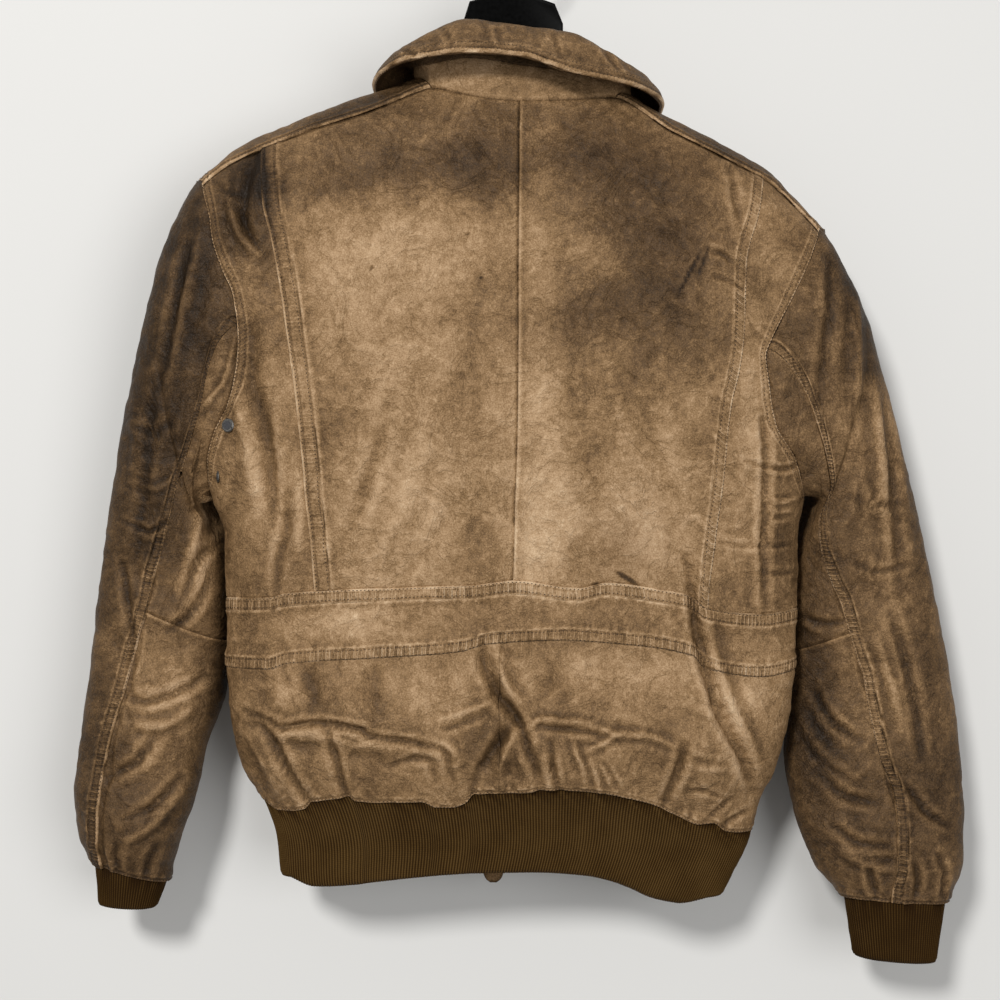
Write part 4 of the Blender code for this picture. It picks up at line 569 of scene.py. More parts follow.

# %% [markdown]
# ## Creases
#
# Real leather remembers how it was worn. Its creases are uneven: some long and soft, some short and sharp.
# Each one is listed as a few points, with a depth and a width. A trough has a soft shoulder on each
# side, as the leather that is pushed down has to go somewhere. A negative depth is a trough and a positive
# one is a ridge.

# %% Creases of the back, listed one by one
# Depth and width, then across and up of each point that it runs through.
BACK_CREASES = (
    (-2.6, 3.4, -224, -676, -204, -682, -191, -689, -161, -684, -126, -689, -119, -694, -88, -698, -61,
     -704, -50, -713),
    (1.6, 6, -200, -694, -170, -694, -128, -701, -90, -707),
    (-3.2, 4.6, -216, -685, -205, -691, -196, -706, -188, -721, -181, -735, -170, -752),
    (1.8, 6, -226, -690, -214, -706, -203, -726, -194, -748),
    (-2.6, 4.4, -154, -689, -150, -703, -145, -718, -143, -730, -137, -747),
    (-1.4, 3.4, -100, -718, -82, -712, -70, -714, -65, -729), (-1.5, 3.4, -59, -704, -54, -716, -51, -730),
    (-3.4, 6, -27, -618, -25, -636, -18, -650, -13, -662, -4, -672, 5, -682),
    (2.4, 5, -13, -622, -12, -640, -6, -655, 4, -668),
    (-2.8, 5, 0, -679, -9, -692, -17, -704, -24, -716, -31, -727, -35, -742),
    (2.6, 5, 2, -690, -6, -706, -12, -722, -14, -738),
    (-3.4, 4.8, -8, -668, 0, -680, 6, -692, 11, -706, 17, -720, 20, -738),
    (1.4, 3, -60, -680, -38, -673, -20, -666), (-1.2, 3, -58, -688, -38, -682, -22, -676),
    (-4.2, 5.4, 140, -548, 144, -566, 147, -590, 151, -614, 156, -636, 162, -655, 168, -674, 176, -692, 186,
     -711, 194, -728, 198, -744),
    (2.2, 6, 160, -622, 170, -650, 180, -676, 194, -702),
    (-2.6, 4.6, 137, -700, 135, -716, 130, -731, 122, -752),
    (-1.4, 3.6, 139, -703, 146, -713, 159, -717, 174, -718),
    (1.6, 3.2, 12, -686, 22, -680, 38, -681, 54, -682, 66, -685),
    (1.4, 3.2, 70, -689, 88, -693, 104, -693, 129, -702), (-1.4, 3, 20, -686, 44, -688, 66, -692, 84, -699),
    (1.3, 2.8, 56, -706, 71, -700, 82, -693, 92, -689), (1.4, 3, 46, -690, 49, -705, 54, -718, 58, -730),
    (-2, 3.4, 29, -698, 30, -716, 33, -729, 38, -740), (-1.2, 2.6, 72, -715, 78, -725, 84, -738),
    (1.3, 3, 62, -716, 66, -728, 70, -740), (-1.2, 2.6, 142, -739, 157, -742, 172, -748),
    (-1.6, 3, 172, -772, 183, -766, 194, -761), (-1.3, 2.6, 156, -768, 168, -758, 176, -750),
    (2, 12, -196, -640, -190, -660, -192, -676), (-1.8, 9, -168, -642, -164, -660, -166, -678),
    (1.7, 9, -140, -640, -138, -660, -132, -680), (-1.8, 9, -112, -636, -114, -656, -106, -682),
    (1.6, 9, -84, -634, -82, -654, -74, -684), (-1.6, 8, -56, -630, -58, -650, -50, -668),
    (-1.5, 9, 24, -624, 26, -646, 22, -668), (1.6, 9, 48, -624, 50, -648, 46, -672),
    (-1.3, 10, 76, -626, 78, -650, 72, -676),
    (-2.4, 9, -232, -330, -222, -352, -218, -380, -212, -402, -206, -430),
    (-2.6, 7, -222, -392, -212, -420, -204, -452, -200, -488, -198, -520),
    (2.4, 8, -236, -400, -226, -432, -218, -470, -214, -508),
    (-2, 5, -190, -500, -188, -524, -194, -550, -196, -574), (1.8, 6, -180, -486, -176, -516, -178, -548),
    (-2.2, 5, -216, -212, -222, -240, -224, -268, -214, -292),
    (1.8, 4, -240, -232, -236, -258, -226, -284, -212, -300), (-1.4, 4, -250, -236, -238, -246, -222, -250),
    (-1.8, 7, -154, -560, -132, -520, -116, -470, -104, -430),
    (1.5, 9, -130, -566, -104, -530, -84, -486, -74, -440), (-1.4, 8, -96, -566, -70, -540, -46, -500),
    (1.2, 12, -60, -380, -66, -430, -60, -480), (-1.3, 12, -30, -330, -36, -400, -30, -470),
    (-1.6, 12, 40, -380, 56, -450, 66, -520), (1.4, 12, 66, -350, 84, -430, 96, -510),
    (-1.5, 10, 110, -440, 124, -500, 134, -560),
    (-3, 4, 205, -436, 207, -470, 207, -510, 206, -552, 207, -596),
    (-1.5, 2.6, 190, -470, 206, -474, 222, -476, 236, -472), (-1.2, 2.4, 200, -512, 216, -516, 232, -514),
    (-1.2, 2.4, 168, -536, 190, -540, 212, -540, 232, -538), (-1, 2.4, 206, -560, 220, -563, 234, -561),
    (1.2, 2.4, 206, -500, 220, -503, 236, -500), (-1.4, 3, 158, -296, 170, -300, 182, -310),
    (-1.4, 4, 178, -226, 184, -262, 192, -300), (-1.1, 2.6, 164, -318, 174, -322, 186, -328),
)
print("creases on the back:", len(BACK_CREASES))

# %% [markdown]
# The front hangs from the same shoulders as the back, so it gets the same kind of creases: long ones that
# fall from the shoulders, a few across at the waist and short ones above the band.

# %% Creases of the fronts and the sleeves
FRONT_CREASES = (
    (-2.2, 9, -60, -230, -72, -300, -70, -380), (2, 10, -96, -220, -112, -300, -120, -390),
    (-2, 8, -142, -230, -158, -300, -170, -370), (2, 9, 74, -240, 84, -310, 82, -400),
    (-2.2, 9, 116, -240, 132, -320, 140, -400), (-2.4, 5, -226, -440, -196, -478, -170, -520, -160, -560),
    (2, 6, -210, -430, -176, -466, -140, -520), (-2.4, 5, 216, -440, 190, -480, 168, -530, 160, -570),
    (1.8, 6, 196, -430, 164, -476, 138, -530), (-1.8, 4, -200, -600, -150, -612, -96, -604, -50, -612),
    (1.6, 5, -190, -622, -140, -632, -90, -626), (-2, 4, 204, -606, 160, -622, 110, -616, 60, -626),
    (-2.6, 4.5, -206, -668, -160, -690, -110, -694, -60, -706), (-2.4, 4, -150, -700, -142, -722, -134, -744),
    (-2.2, 4, -84, -704, -88, -724, -82, -744), (1.8, 4, -110, -706, -112, -728, -106, -746),
    (-2.4, 4.5, 196, -672, 150, -694, 100, -690, 56, -704), (-2.2, 4, 140, -700, 134, -726, 126, -750),
    (-2, 4, 84, -700, 88, -722, 84, -746), (1.8, 4, 112, -704, 110, -728, 104, -748),
    (-1.4, 3, 30, -420, 60, -436, 92, -430), (-1.4, 3, -30, -470, -62, -482, -96, -474),
)
# The same for the sleeves, seen from the back and from the front.
SLEEVE_CREASES = {
    ("left", "back"): (
        (1.5, 2.4, -229, -362, -234, -383, -238, -400, -247, -413, -259, -425),
        (-2.4, 5, -272, -290, -280, -330, -288, -372, -296, -410),
        (2, 6, -258, -262, -264, -300, -272, -340, -282, -380),
        (-2, 6, -300, -400, -306, -450, -312, -510, -318, -560),
        (-1.6, 3, -318, -440, -300, -446, -284, -440), (1.4, 3, -320, -486, -300, -492, -286, -484),
        (-1.4, 3, -326, -520, -306, -528, -292, -520),
        (-2.8, 4, -330, -556, -324, -590, -320, -620, -322, -660),
        (-2, 4, -256, -540, -268, -556, -276, -580), (1.8, 5, -262, -500, -268, -530, -276, -560),
        (-1.8, 4, -258, -570, -272, -596, -290, -612),
        (-2, 4.5, -262, -650, -284, -664, -310, -670, -330, -664),
        (1.8, 5, -270, -676, -296, -690, -322, -690), (-2.2, 5, -300, -700, -318, -722, -340, -734),
        (-2.2, 4.5, -282, -736, -300, -756, -326, -768), (1.8, 4.5, -288, -756, -304, -774, -326, -786),
        (-2, 3.6, -300, -790, -306, -804, -310, -818), (-2, 3.6, -330, -786, -334, -800, -332, -816),
    ),
    ("right", "back"): (
        (-2.4, 6, 262, -300, 262, -340, 256, -380, 252, -420), (2, 6, 284, -330, 286, -380, 284, -430),
        (-1.8, 6, 312, -420, 318, -470, 322, -530, 326, -580), (1.8, 6, 300, -400, 306, -460, 310, -520),
        (-1.6, 3.4, 282, -498, 304, -506, 326, -504), (-1.8, 3.4, 288, -556, 308, -562, 330, -556),
        (-1.8, 4, 244, -600, 262, -606, 280, -604), (-2.4, 5, 318, -600, 330, -640, 338, -680, 342, -720),
        (2, 5, 306, -620, 318, -660, 326, -700), (-2, 4, 252, -660, 270, -690, 292, -704),
        (1.8, 5, 246, -690, 262, -716, 286, -732), (-2.2, 4.4, 256, -730, 280, -752, 306, -756),
        (-2.2, 4, 330, -740, 346, -764, 366, -776), (-2, 4, 268, -776, 290, -790, 314, -792),
        (1.8, 4, 276, -796, 296, -808, 318, -812), (-2.2, 3.6, 296, -806, 300, -822, 304, -836),
        (-2.2, 3.6, 336, -806, 338, -822, 336, -838), (-1.8, 3.6, 356, -800, 362, -818, 360, -836),
    ),
    ("left", "front"): (
        (-2.4, 5, -262, -330, -280, -380, -296, -430), (2, 6, -282, -320, -300, -380, -312, -450),
        (-2.4, 4.5, -258, -580, -290, -596, -330, -590), (-2.2, 4.5, -262, -626, -296, -632, -334, -616),
        (1.8, 5, -262, -604, -294, -614, -330, -602), (-2.2, 4.5, -286, -720, -316, -740, -350, -736),
        (-2, 4, -300, -780, -306, -800, -308, -818), (-2, 4, -334, -776, -336, -796, -334, -812),
    ),
    ("right", "front"): (
        (-2.4, 5, 262, -350, 276, -400, 290, -450), (2, 6, 280, -350, 298, -410, 308, -470),
        (-2.4, 4.5, 250, -590, 290, -606, 340, -596), (-2.2, 4.5, 250, -640, 296, -646, 346, -628),
        (1.8, 5, 252, -616, 294, -626, 342, -612), (-2.2, 4.5, 262, -740, 306, -760, 356, -752),
        (-2, 4, 296, -800, 302, -820, 304, -836), (-2, 4, 346, -796, 350, -816, 348, -834),
    ),
}
print("creases on the fronts:", len(FRONT_CREASES))

# %% [markdown]
# ### How a crease shapes the leather
#
# For each point we look for the nearest place on the crease's line. The trough is a soft bell across the
# line, its shoulders are two lower bells beside it, and the whole crease fades out towards its ends.

# %% Relief of the creases
CREASE_NARROW = 0.85    # how much of its listed width a crease has on worn leather


def crease_line(numbers):
    """A smooth line through a crease's points, which are given as across, up, across, up and so on."""
    points = np.reshape(numbers, (-1, 2))
    places = np.arange(len(points), dtype=float)
    fine = np.linspace(0.0, len(points) - 1.0, 8 * len(points))
    table = np.column_stack([places, points])
    return np.column_stack([smooth(table, fine, 1), smooth(table, fine, 2)])


def creases(table, x, z):
    """Height of the creases at each point, and how far into a trough each point lies, which sets its painted
    shade.
    """
    height = np.zeros_like(x)
    trough = np.zeros_like(x)
    for depth, width, *numbers in table:
        line = crease_line(numbers)
        low = line.min(axis=0) - 4.0 * width
        high = line.max(axis=0) + 4.0 * width
        near = np.nonzero((x > low[0]) & (x < high[0]) & (z > low[1]) & (z < high[1]))
        if len(near[0]) == 0:
            continue
        here = np.stack([x[near], z[near]], axis=-1)
        width = CREASE_NARROW * width
        wobble = width * 0.5 * noise(here[:, 0] / 13.0, here[:, 1] / 13.0, depth + width)
        away2 = ((here[:, None, :] - line[None, :, :]) ** 2).sum(axis=-1)
        closest = away2.argmin(axis=1)
        away = np.sqrt(away2[np.arange(len(here)), closest]) + np.abs(wobble) * 0.4
        part = closest / (len(line) - 1.0)
        fade = np.sin(np.pi * np.clip(0.06 + 0.88 * part, 0.0, 1.0)) ** 0.7
        uneven = 0.8 + 0.3 * noise(here[:, 0] / 17.0, here[:, 1] / 17.0, depth)
        bell = np.exp(-(away / width) ** 2)
        shoulders = np.exp(-((away - 2.0 * width) / width) ** 2)
        height[near] += depth * fade * uneven * (bell - 0.35 * shoulders)
        trough[near] += -np.sign(depth) * min(abs(depth) / 2.5, 1.2) * fade * (bell - 0.3 * shoulders)
    return height, trough


middle = creases(BACK_CREASES[:1], np.array([[-161.0]]), np.array([[-684.0]]))
print("a trough's middle:", np.round(middle[0], 2))

# %% [markdown]
# ## Colour that follows the wear, with painted shade
#
# The leather was dyed one brown, and wear did the rest: pale where it rubs, with a few grey smudges and old
# stains. The darker colour in the pleats' recess, in the creases and under the arms is painted shade. We
# store two
# numbers on every point of the cloth: `tone`, from dark to light, which holds the wear, the stains and the
# painted shade and highlight, and `soot`, how grey a smudge is. The leather's material reads both.

# %% Stains, worn places and painted shade
# Across, up, half width, half height, tilt in degrees, change of tone.
BACK_TONES = (
    (-100, -330, 70, 80, 20, 0.1), (-70, -480, 80, 90, -20, 0.12), (-110, -540, 60, 40, 0, 0.08),
    (-30, -540, 24, 44, 0, -0.12), (20, -400, 20, 160, 0, 0.14), (16, -540, 24, 40, 0, 0.1),
    (-60, -215, 90, 30, 0, -0.1), (-120, -240, 60, 24, 8, -0.1), (-40, -222, 34, 26, 0, -0.16),
    (-190, -250, 20, 40, 0, -0.06), (90, -230, 80, 44, 0, -0.22), (120, -290, 60, 36, -10, -0.24),
    (60, -350, 60, 30, 15, -0.16), (60, -300, 44, 26, 0, 0.1), (140, -360, 44, 40, 0, -0.1),
    (105, -482, 40, 50, 0, 0.1), (88, -540, 26, 26, 0, -0.1), (60, -520, 30, 50, 0, 0.06),
    (-70, -660, 60, 24, 0, 0.05), (-150, -655, 40, 20, 0, -0.04), (-152, -604, 40, 16, 0, 0.14),
    (-20, -690, 26, 50, 0, -0.18), (30, -690, 30, 40, 0, -0.1), (80, -640, 50, 16, 0, 0.1),
    (100, -700, 50, 34, 0, -0.04), (190, -670, 30, 40, 0, 0.12), (-215, -720, 20, 44, 0, -0.16),
    # The ovals at (-232, -260), (-216, -225) and (-211, -222) are painted shade in the open top of the left
    # pleat.
    (-220, -600, 16, 30, 0, -0.14), (-232, -260, 34, 60, 0, -0.34), (-216, -225, 16, 30, 0, -0.15),
    (-211, -222, 5, 40, 10, -0.3), (-225, -350, 30, 50, 0, -0.1), (-205, -500, 26, 60, 0, 0.05),
    (195, -450, 14, 90, 0, 0.12), (222, -520, 16, 60, 0, -0.12), (205, -300, 24, 50, 0, -0.04),
    (235, -300, 20, 50, 0, -0.1), (0, -180, 120, 16, 0, -0.1), (80, -420, 60, 80, 0, -0.1),
    (100, -520, 50, 30, 0, 0.08), (0, -600, 60, 18, 0, -0.07), (110, -605, 60, 20, 0, -0.09),
    (205, -615, 30, 20, 0, 0.08), (-150, -690, 60, 40, 0, -0.07), (-70, -710, 60, 40, 0, -0.06),
    (90, -690, 50, 30, 0, 0.05), (110, -520, 50, 40, 0, 0.1), (200, -690, 30, 40, 0, -0.08),
    (-130, -400, 60, 120, 0, -0.05),
)
# The same for how grey a smudge is.
BACK_SOOT = (
    (96, -225, 70, 36, 0, 0.55), (120, -290, 56, 34, -10, 0.5), (58, -352, 54, 24, 15, 0.45),
    # The grey oval at (-222, -230) lies in the same recess: partly a smudge, partly painted shade.
    (-34, -214, 30, 24, 0, 0.4), (-104, -236, 44, 16, 10, 0.3), (-222, -230, 22, 44, 0, 0.45),
    (90, -540, 30, 30, 0, 0.3), (-190, -560, 20, 20, 0, 0.25),
)
# Dark marks: a short scrape, a spot and two scratches. The last column is how dark each one is.
MARKS = (
    (92, -566, 13, 1.8, -32, 0.4), (66, -571, 3, 1.8, 0, 0.4), (144, -314, 1.3, 20, -28, 0.36),
    (155, -305, 1.2, 14, -20, 0.32), (-40, -284, 1.6, 1.6, 0, 0.45), (-118, -312, 1.4, 1.4, 0, 0.4),
    (-28, -320, 1.4, 1.4, 0, 0.4),
)


def patches(table, x, z, sharp=1.0):
    """Sum of soft tilted ovals, with ragged edges."""
    rough = 1.0 + 0.30 * noise(x / 22.0, z / 22.0, 3.0) + 0.18 * noise(x / 8.0, z / 8.0, 5.0)
    total = np.zeros_like(x)
    for middle_x, middle_z, wide, tall, tilt, amount in table:
        turned = math.radians(tilt)
        dx = x - middle_x
        dz = z - middle_z
        along = (dx * math.cos(turned) + dz * math.sin(turned)) / wide
        across = (dz * math.cos(turned) - dx * math.sin(turned)) / tall
        total += amount * np.exp(-((along ** 2 + across ** 2) * rough) ** sharp)
    return total


print("tone patches:", len(BACK_TONES), "marks:", len(MARKS))

# %% [markdown]
# ## Cutting the panels
#
# Each panel is a fine grid over its part of the form. Its lines lie close together beside a seam, where the
# leather bends sharply, and further apart in the open. The finished panel is a thin closed shell: an outer
# layer, an inner layer with half as many lines, and a narrow edge that joins them.

# %% Grids that are closer beside a seam
SEAM_STEP = 0.9         # spacing of the lines beside a seam
SEAM_STRIP = 9.0        # width beside a seam with that spacing


def graded(length, step, fine=(True, True)):
    """Places from 0 to 1 along a length, an even number of steps, closer together beside a seam."""
    along = np.linspace(0.0, length, 2000)
    to_start = along if fine[0] else np.full_like(along, length)
    to_end = length - along if fine[1] else np.full_like(along, length)
    spacing = lerp(min(SEAM_STEP, step), step, ramp((np.minimum(to_start, to_end) - SEAM_STRIP) / SEAM_STRIP))
    count = np.concatenate([[0.0], np.cumsum(np.diff(along) / spacing[1:])])
    steps = 2 * math.ceil(count[-1] / 2.0)
    return np.interp(np.linspace(0.0, count[-1], steps + 1), count, along) / length


def lines(knots, spans, step, fine=(True, True)):
    """Places through the seam numbers in knots, whose spans have the given lengths."""
    total = np.concatenate([[0.0], np.cumsum(spans)])
    return np.interp(graded(total[-1], step, fine) * total[-1], total, knots)


def grid_normals(points, centre):
    """Unit normals of a grid, pointing away from a centre."""
    normals = unit(np.cross(np.gradient(points, axis=1), np.gradient(points, axis=0)))
    agree = np.sum(normals * (points - centre), axis=-1).mean()
    return normals if agree > 0.0 else -normals


def from_borders(points):
    """For each border of a grid: how far away each point is, and how far along the border."""
    up = np.linalg.norm(np.diff(points, axis=0), axis=-1)
    up = np.concatenate([np.zeros((1, points.shape[1])), np.cumsum(up, axis=0)])
    across = np.linalg.norm(np.diff(points, axis=1), axis=-1)
    across = np.concatenate([np.zeros((points.shape[0], 1)), np.cumsum(across, axis=1)], axis=1)
    return {"foot": (up, across), "head": (up[-1:] - up, across),
            "left": (across, up), "right": (across[:, -1:] - across, up)}


print("lines across 150 mm:", len(graded(150.0, 1.8)))

# %% [markdown]
# ### The closed shell
#
# The corners of every face are worked out as whole tables of numbers, because a panel has tens of thousands
# of them. The edge is made of five-sided faces, each joining two steps of the outer layer to one step of the
# inner.

# %% Making a shell
def face_table(numbers):
    """Four-sided faces of a grid of point numbers."""
    corners = [numbers[:-1, :-1], numbers[:-1, 1:], numbers[1:, 1:], numbers[1:, :-1]]
    return np.stack(corners, axis=-1).reshape(-1, 4)


def edge_faces(outer, inner):
    """Five-sided faces between a fine line of points and a line with half as many steps."""
    return np.stack([outer[:-1:2], inner[:-1], inner[1:], outer[2::2], outer[1::2]], axis=-1)


def make_mesh(name, points, quads, fives, surface, values, uv):
    """A smooth mesh from tables of faces, with a number on each point for every name in values."""
    mesh = bpy.data.meshes.new(name)
    mesh.vertices.add(len(points))
    mesh.vertices.foreach_set("co", (points * MM).ravel())
    corners = np.concatenate([quads.ravel(), fives.ravel()]).astype(np.int32)
    sizes = np.concatenate([np.full(len(quads), 4), np.full(len(fives), 5)])
    starts = np.concatenate([[0], np.cumsum(sizes)[:-1]]).astype(np.int32)
    mesh.loops.add(len(corners))
    mesh.loops.foreach_set("vertex_index", corners)
    mesh.polygons.add(len(sizes))
    mesh.polygons.foreach_set("loop_start", starts)
    mesh.update(calc_edges=True)
    for key, numbers in values.items():
        stored_values = mesh.attributes.new(key, "FLOAT", "POINT")
        stored_values.data.foreach_set("value", numbers.astype(np.float32).ravel())
    layer = mesh.uv_layers.new(name="cloth")
    layer.data.foreach_set("uv", (uv[corners] * MM).astype(np.float32).ravel())
    mesh.shade_smooth()
    mesh.materials.append(surface)
    obj = bpy.data.objects.new(name, mesh)
    bpy.context.scene.collection.objects.link(obj)
    return obj


def shell(name, outer, normals, wall, surface, values, ring=False):
    """A closed piece of cloth: a fine outer grid and, one wall further in, a grid with half as many lines."""
    if ring:
        outer = outer[:, :-1]
        normals = normals[:, :-1]
        values = {key: numbers[:, :-1] for key, numbers in values.items()}
    inner = outer[::2, ::2] - wall * normals[::2, ::2]
    numbers = np.arange(outer.shape[0] * outer.shape[1]).reshape(outer.shape[:2])
    inner_numbers = numbers.size + np.arange(inner.shape[0] * inner.shape[1]).reshape(inner.shape[:2])
    if ring:
        numbers = np.concatenate([numbers, numbers[:, :1]], axis=1)
        inner_numbers = np.concatenate([inner_numbers, inner_numbers[:, :1]], axis=1)
    quads = np.concatenate([face_table(numbers), face_table(inner_numbers)[:, ::-1]])
    fives = [edge_faces(numbers[0], inner_numbers[0]), edge_faces(numbers[-1], inner_numbers[-1])[:, ::-1]]
    if not ring:
        fives.append(edge_faces(numbers[:, 0], inner_numbers[:, 0])[:, ::-1])
        fives.append(edge_faces(numbers[:, -1], inner_numbers[:, -1]))
    fives = np.concatenate(fives)
    middle = tuple(size // 2 for size in outer.shape[:2])
    corner = outer[middle]
    facing = np.cross(outer[middle[0], middle[1] + 1] - corner, outer[middle[0] + 1, middle[1]] - corner)
    if facing @ normals[middle] < 0.0:
        quads = quads[:, ::-1]
        fives = fives[:, ::-1]
    points = np.concatenate([outer.reshape(-1, 3), inner.reshape(-1, 3)])
    full = {key: np.concatenate([grid.ravel(), grid[::2, ::2].ravel()]) for key, grid in values.items()}
    places = from_borders(outer)
    uv = np.stack([places["left"][0], places["foot"][0]], axis=-1)
    uv = np.concatenate([uv.reshape(-1, 2), uv[::2, ::2].reshape(-1, 2)])
    return make_mesh(name, points, quads, fives, surface, full, uv)


print("faces of a grid of 3 by 3 points:", len(face_table(np.arange(9).reshape(3, 3))))

# %% [markdown]
# ## Seams
#
# A lapped seam has a folded edge that stands a millimetre proud, with two rows of stitching that pull the
# leather down and small ribs between them where it has gathered over the years. A plain seam is only a
# groove. The panel underneath a lapped edge dips to let it lie flat.

# %% What each kind of seam does to the leather beside it
# Lift of the edge, width of the raised strip, distances of the stitch rows, lightness of the edge and
# strength of the ribs. On a raised fold the lightness is partly wear and partly a painted highlight; a
# negative one is a painted shadow line in the groove or beside the next panel's raised edge.
SEAMS = {
    "plain": (-0.9, 0.4, (), -0.22, 0),
    "faint": (-0.5, 0.3, (), -0.08, 0),
    "under": (-1.3, 1, (), -0.3, 0),
    "lapped": (-1.9, 9, (), -0.24, 0),
    "tucked": (-1.2, 5, (), -0.2, 0),
    "belt": (1.3, 11, (2.6, 9.8), 0.42, 0.95),
    "pleat": (1.3, 15, (4, 13.6), 0.46, 0.35),
    "narrow": (1.2, 9.5, (1.8, 8.6), 0.5, 0.75),
    "armhole": (1, 9, (2.4, 8.4), 0.5, 0.3),
    "sleeve": (1.1, 9.5, (2.4, 8.4), 0.46, 0.8),
    "shoulder": (1, 5, (4.2,), 0.34, 0),
    "gathered": (1.2, 5, (3,), 0.1, 0.9),
    "centre": (0.7, 1.5, (), 0.16, 0),
    "edge": (0.6, 8, (7,), 0.15, 0),
    "leaf": (1.2, 9, (3.6, 9.6), 0.6, 0.2),
}
PUCKER = 3.3            # spacing of the small ribs along a seam


def seam_relief(kind, away, along, seed):
    """Height, tone and strength of the ribs that one seam gives to a panel."""
    lift, wide, rows, light, strength = SEAMS[kind]
    wander = 0.5 * noise(along / 26.0, away * 0.0, seed)
    place = away + np.where(away > 1.5, wander, 0.0)
    height = lift * (1.0 - ramp((place - wide) / (3.5 if lift < 0.0 else 7.0)))
    # Lightness at the border: on a raised fold partly wear and partly a painted highlight, on a sunk border a
    # painted shadow line.
    tone = light * np.exp(-(away / 1.5) ** 2) * (0.75 + 0.5 * noise(along / 9.0, away / 9.0, seed + 1.0))
    ribs = np.zeros_like(away)
    if lift > 0.0:
        turned = np.clip(away / 1.4, 0.0, 1.0)
        height = height - (lift + 0.9) * (1.0 - np.sqrt(1.0 - (1.0 - turned) ** 2))
        # A second pale line at the strip's inner edge, partly wear and partly a painted highlight, and
        # painted shade just beyond its step.
        tone += 0.30 * light * np.exp(-((place - wide - 0.5) / 1.2) ** 2)
        tone -= 0.04 * np.exp(-((place - wide - 3.0) / 2.0) ** 2)
    for row in rows:
        height -= 0.5 * np.exp(-((place - row) / 0.9) ** 2)
        # Painted shade in each stitch row's groove.
        tone -= 0.10 * np.exp(-((place - row) / 0.8) ** 2)
    if len(rows) > 1:
        middle = (rows[0] + rows[1]) / 2.0
        half = (rows[1] - rows[0]) / 2.0
        between = 1.0 - ramp((np.abs(place - middle) - half) / 1.6)
        ribs = strength * between * (0.65 + 0.5 * noise(along / 16.0, away * 0.0, seed + 2.0))
        shift = 2.5 * noise(along / 12.0, away * 0.0, seed + 3.0)
        swell = np.sin(2.0 * np.pi * along / (2.6 * PUCKER) + shift)
        height += 0.40 * ribs * swell
        # The ribs' crests are coloured lighter and their hollows darker: partly wear, partly painted
        # highlight and shade.
        tone += 0.05 * ribs * swell
    if strength > 0.0:
        beyond = place - rows[-1]
        reach = 8.0 + 7.0 * noise(along / 7.0, away * 0.0, seed + 4.0)
        wrinkle = noise(along / 2.7, place / 30.0, seed + 5.0)
        wrinkle = wrinkle * ramp(beyond / 2.0) * (1.0 - ramp(beyond / reach))
        height += 0.80 * strength * wrinkle
        # The wrinkles are coloured lighter on their ridges and darker in their hollows, as painted highlight
        # and shade.
        tone += 0.14 * strength * wrinkle
    return height, tone, np.clip(ribs, 0.0, 1.0)


print("kinds of seam:", ", ".join(sorted(SEAMS)))

# %% [markdown]
# ### Stitches
#
# A stitch is a small capsule of thread that lies in its groove. Each has only a few faces, because there are
# thousands. The rows follow the panel's own border, so they bend with every crease.

# %% Rows of stitches
STITCH_PITCH = 3.2      # from one stitch to the next
STITCH_LONG = 2.3
STITCH_HALF = 0.34      # half the thread's width
stitch_rows = []


def row_of_stitches(points, normals, border, distance, wander_seed):
    """Places, directions and normals of the stitches of one row, at a distance from a border of a grid."""
    away, along = from_borders(points)[border]
    if border in ("foot", "head"):
        points, normals, away = (grid.swapaxes(0, 1) for grid in (points, normals, away))
        along = along.swapaxes(0, 1)
    path = []
    facing = []
    for k in range(len(points)):
        wander = 0.5 * float(noise(np.array(along[k, 0] / 26.0), np.array(0.0), wander_seed))
        order = np.argsort(away[k])
        path.append([np.interp(distance - wander, away[k][order], points[k, order, c]) for c in range(3)])
        facing.append([np.interp(distance - wander, away[k][order], normals[k, order, c]) for c in range(3)])
    path = np.array(path)
    facing = np.array(facing)
    run = np.concatenate([[0.0], np.cumsum(np.linalg.norm(np.diff(path, axis=0), axis=1))])
    stops = np.arange(STITCH_PITCH, run[-1] - STITCH_PITCH, STITCH_PITCH)
    place = np.stack([np.interp(stops, run, path[:, c]) for c in range(3)], axis=-1)
    ahead = np.stack([np.interp(stops + 1.0, run, path[:, c]) for c in range(3)], axis=-1)
    normal = np.stack([np.interp(stops, run, facing[:, c]) for c in range(3)], axis=-1)
    return place, unit(ahead - place), unit(normal)


def add_stitches(name, rows, surface):
    """One mesh of all the stitches in several rows."""
    place, along, normal = (np.concatenate([row[k] for row in rows]) for k in range(3))
    side = unit(np.cross(along, normal))
    rings = ((-0.5, 0.3, -0.35), (0.0, 1.15, 0.12), (0.5, 0.3, -0.35))
    sides = 5
    points = []
    for part, size, rise in rings:
        for k in range(sides):
            turned = 2.0 * math.pi * k / sides
            points.append(place + along * STITCH_LONG * part + side * STITCH_HALF * size * math.cos(turned)
                          + normal * (STITCH_HALF * size * math.sin(turned) + rise))
    points = np.stack(points, axis=1).reshape(-1, 3)
    each = len(rings) * sides
    quads = []
    for ring in range(len(rings) - 1):
        for k in range(sides):
            after = (k + 1) % sides
            low = ring * sides
            quads.append((low + k, low + sides + k, low + sides + after, low + after))
    quads = np.array(quads)
    ends = np.array([[4, 3, 2, 1, 0], [10, 11, 12, 13, 14]])
    shift = np.arange(len(place))[:, None, None] * each
    uv = np.zeros((len(points), 2))
    obj = make_mesh(name, points, (quads[None] + shift).reshape(-1, 4)[:, ::-1],
                    (ends[None] + shift).reshape(-1, 5)[:, ::-1], surface, {}, uv)
    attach(obj, ROOT)
    return obj


print("stitch pitch:", STITCH_PITCH, "mm")

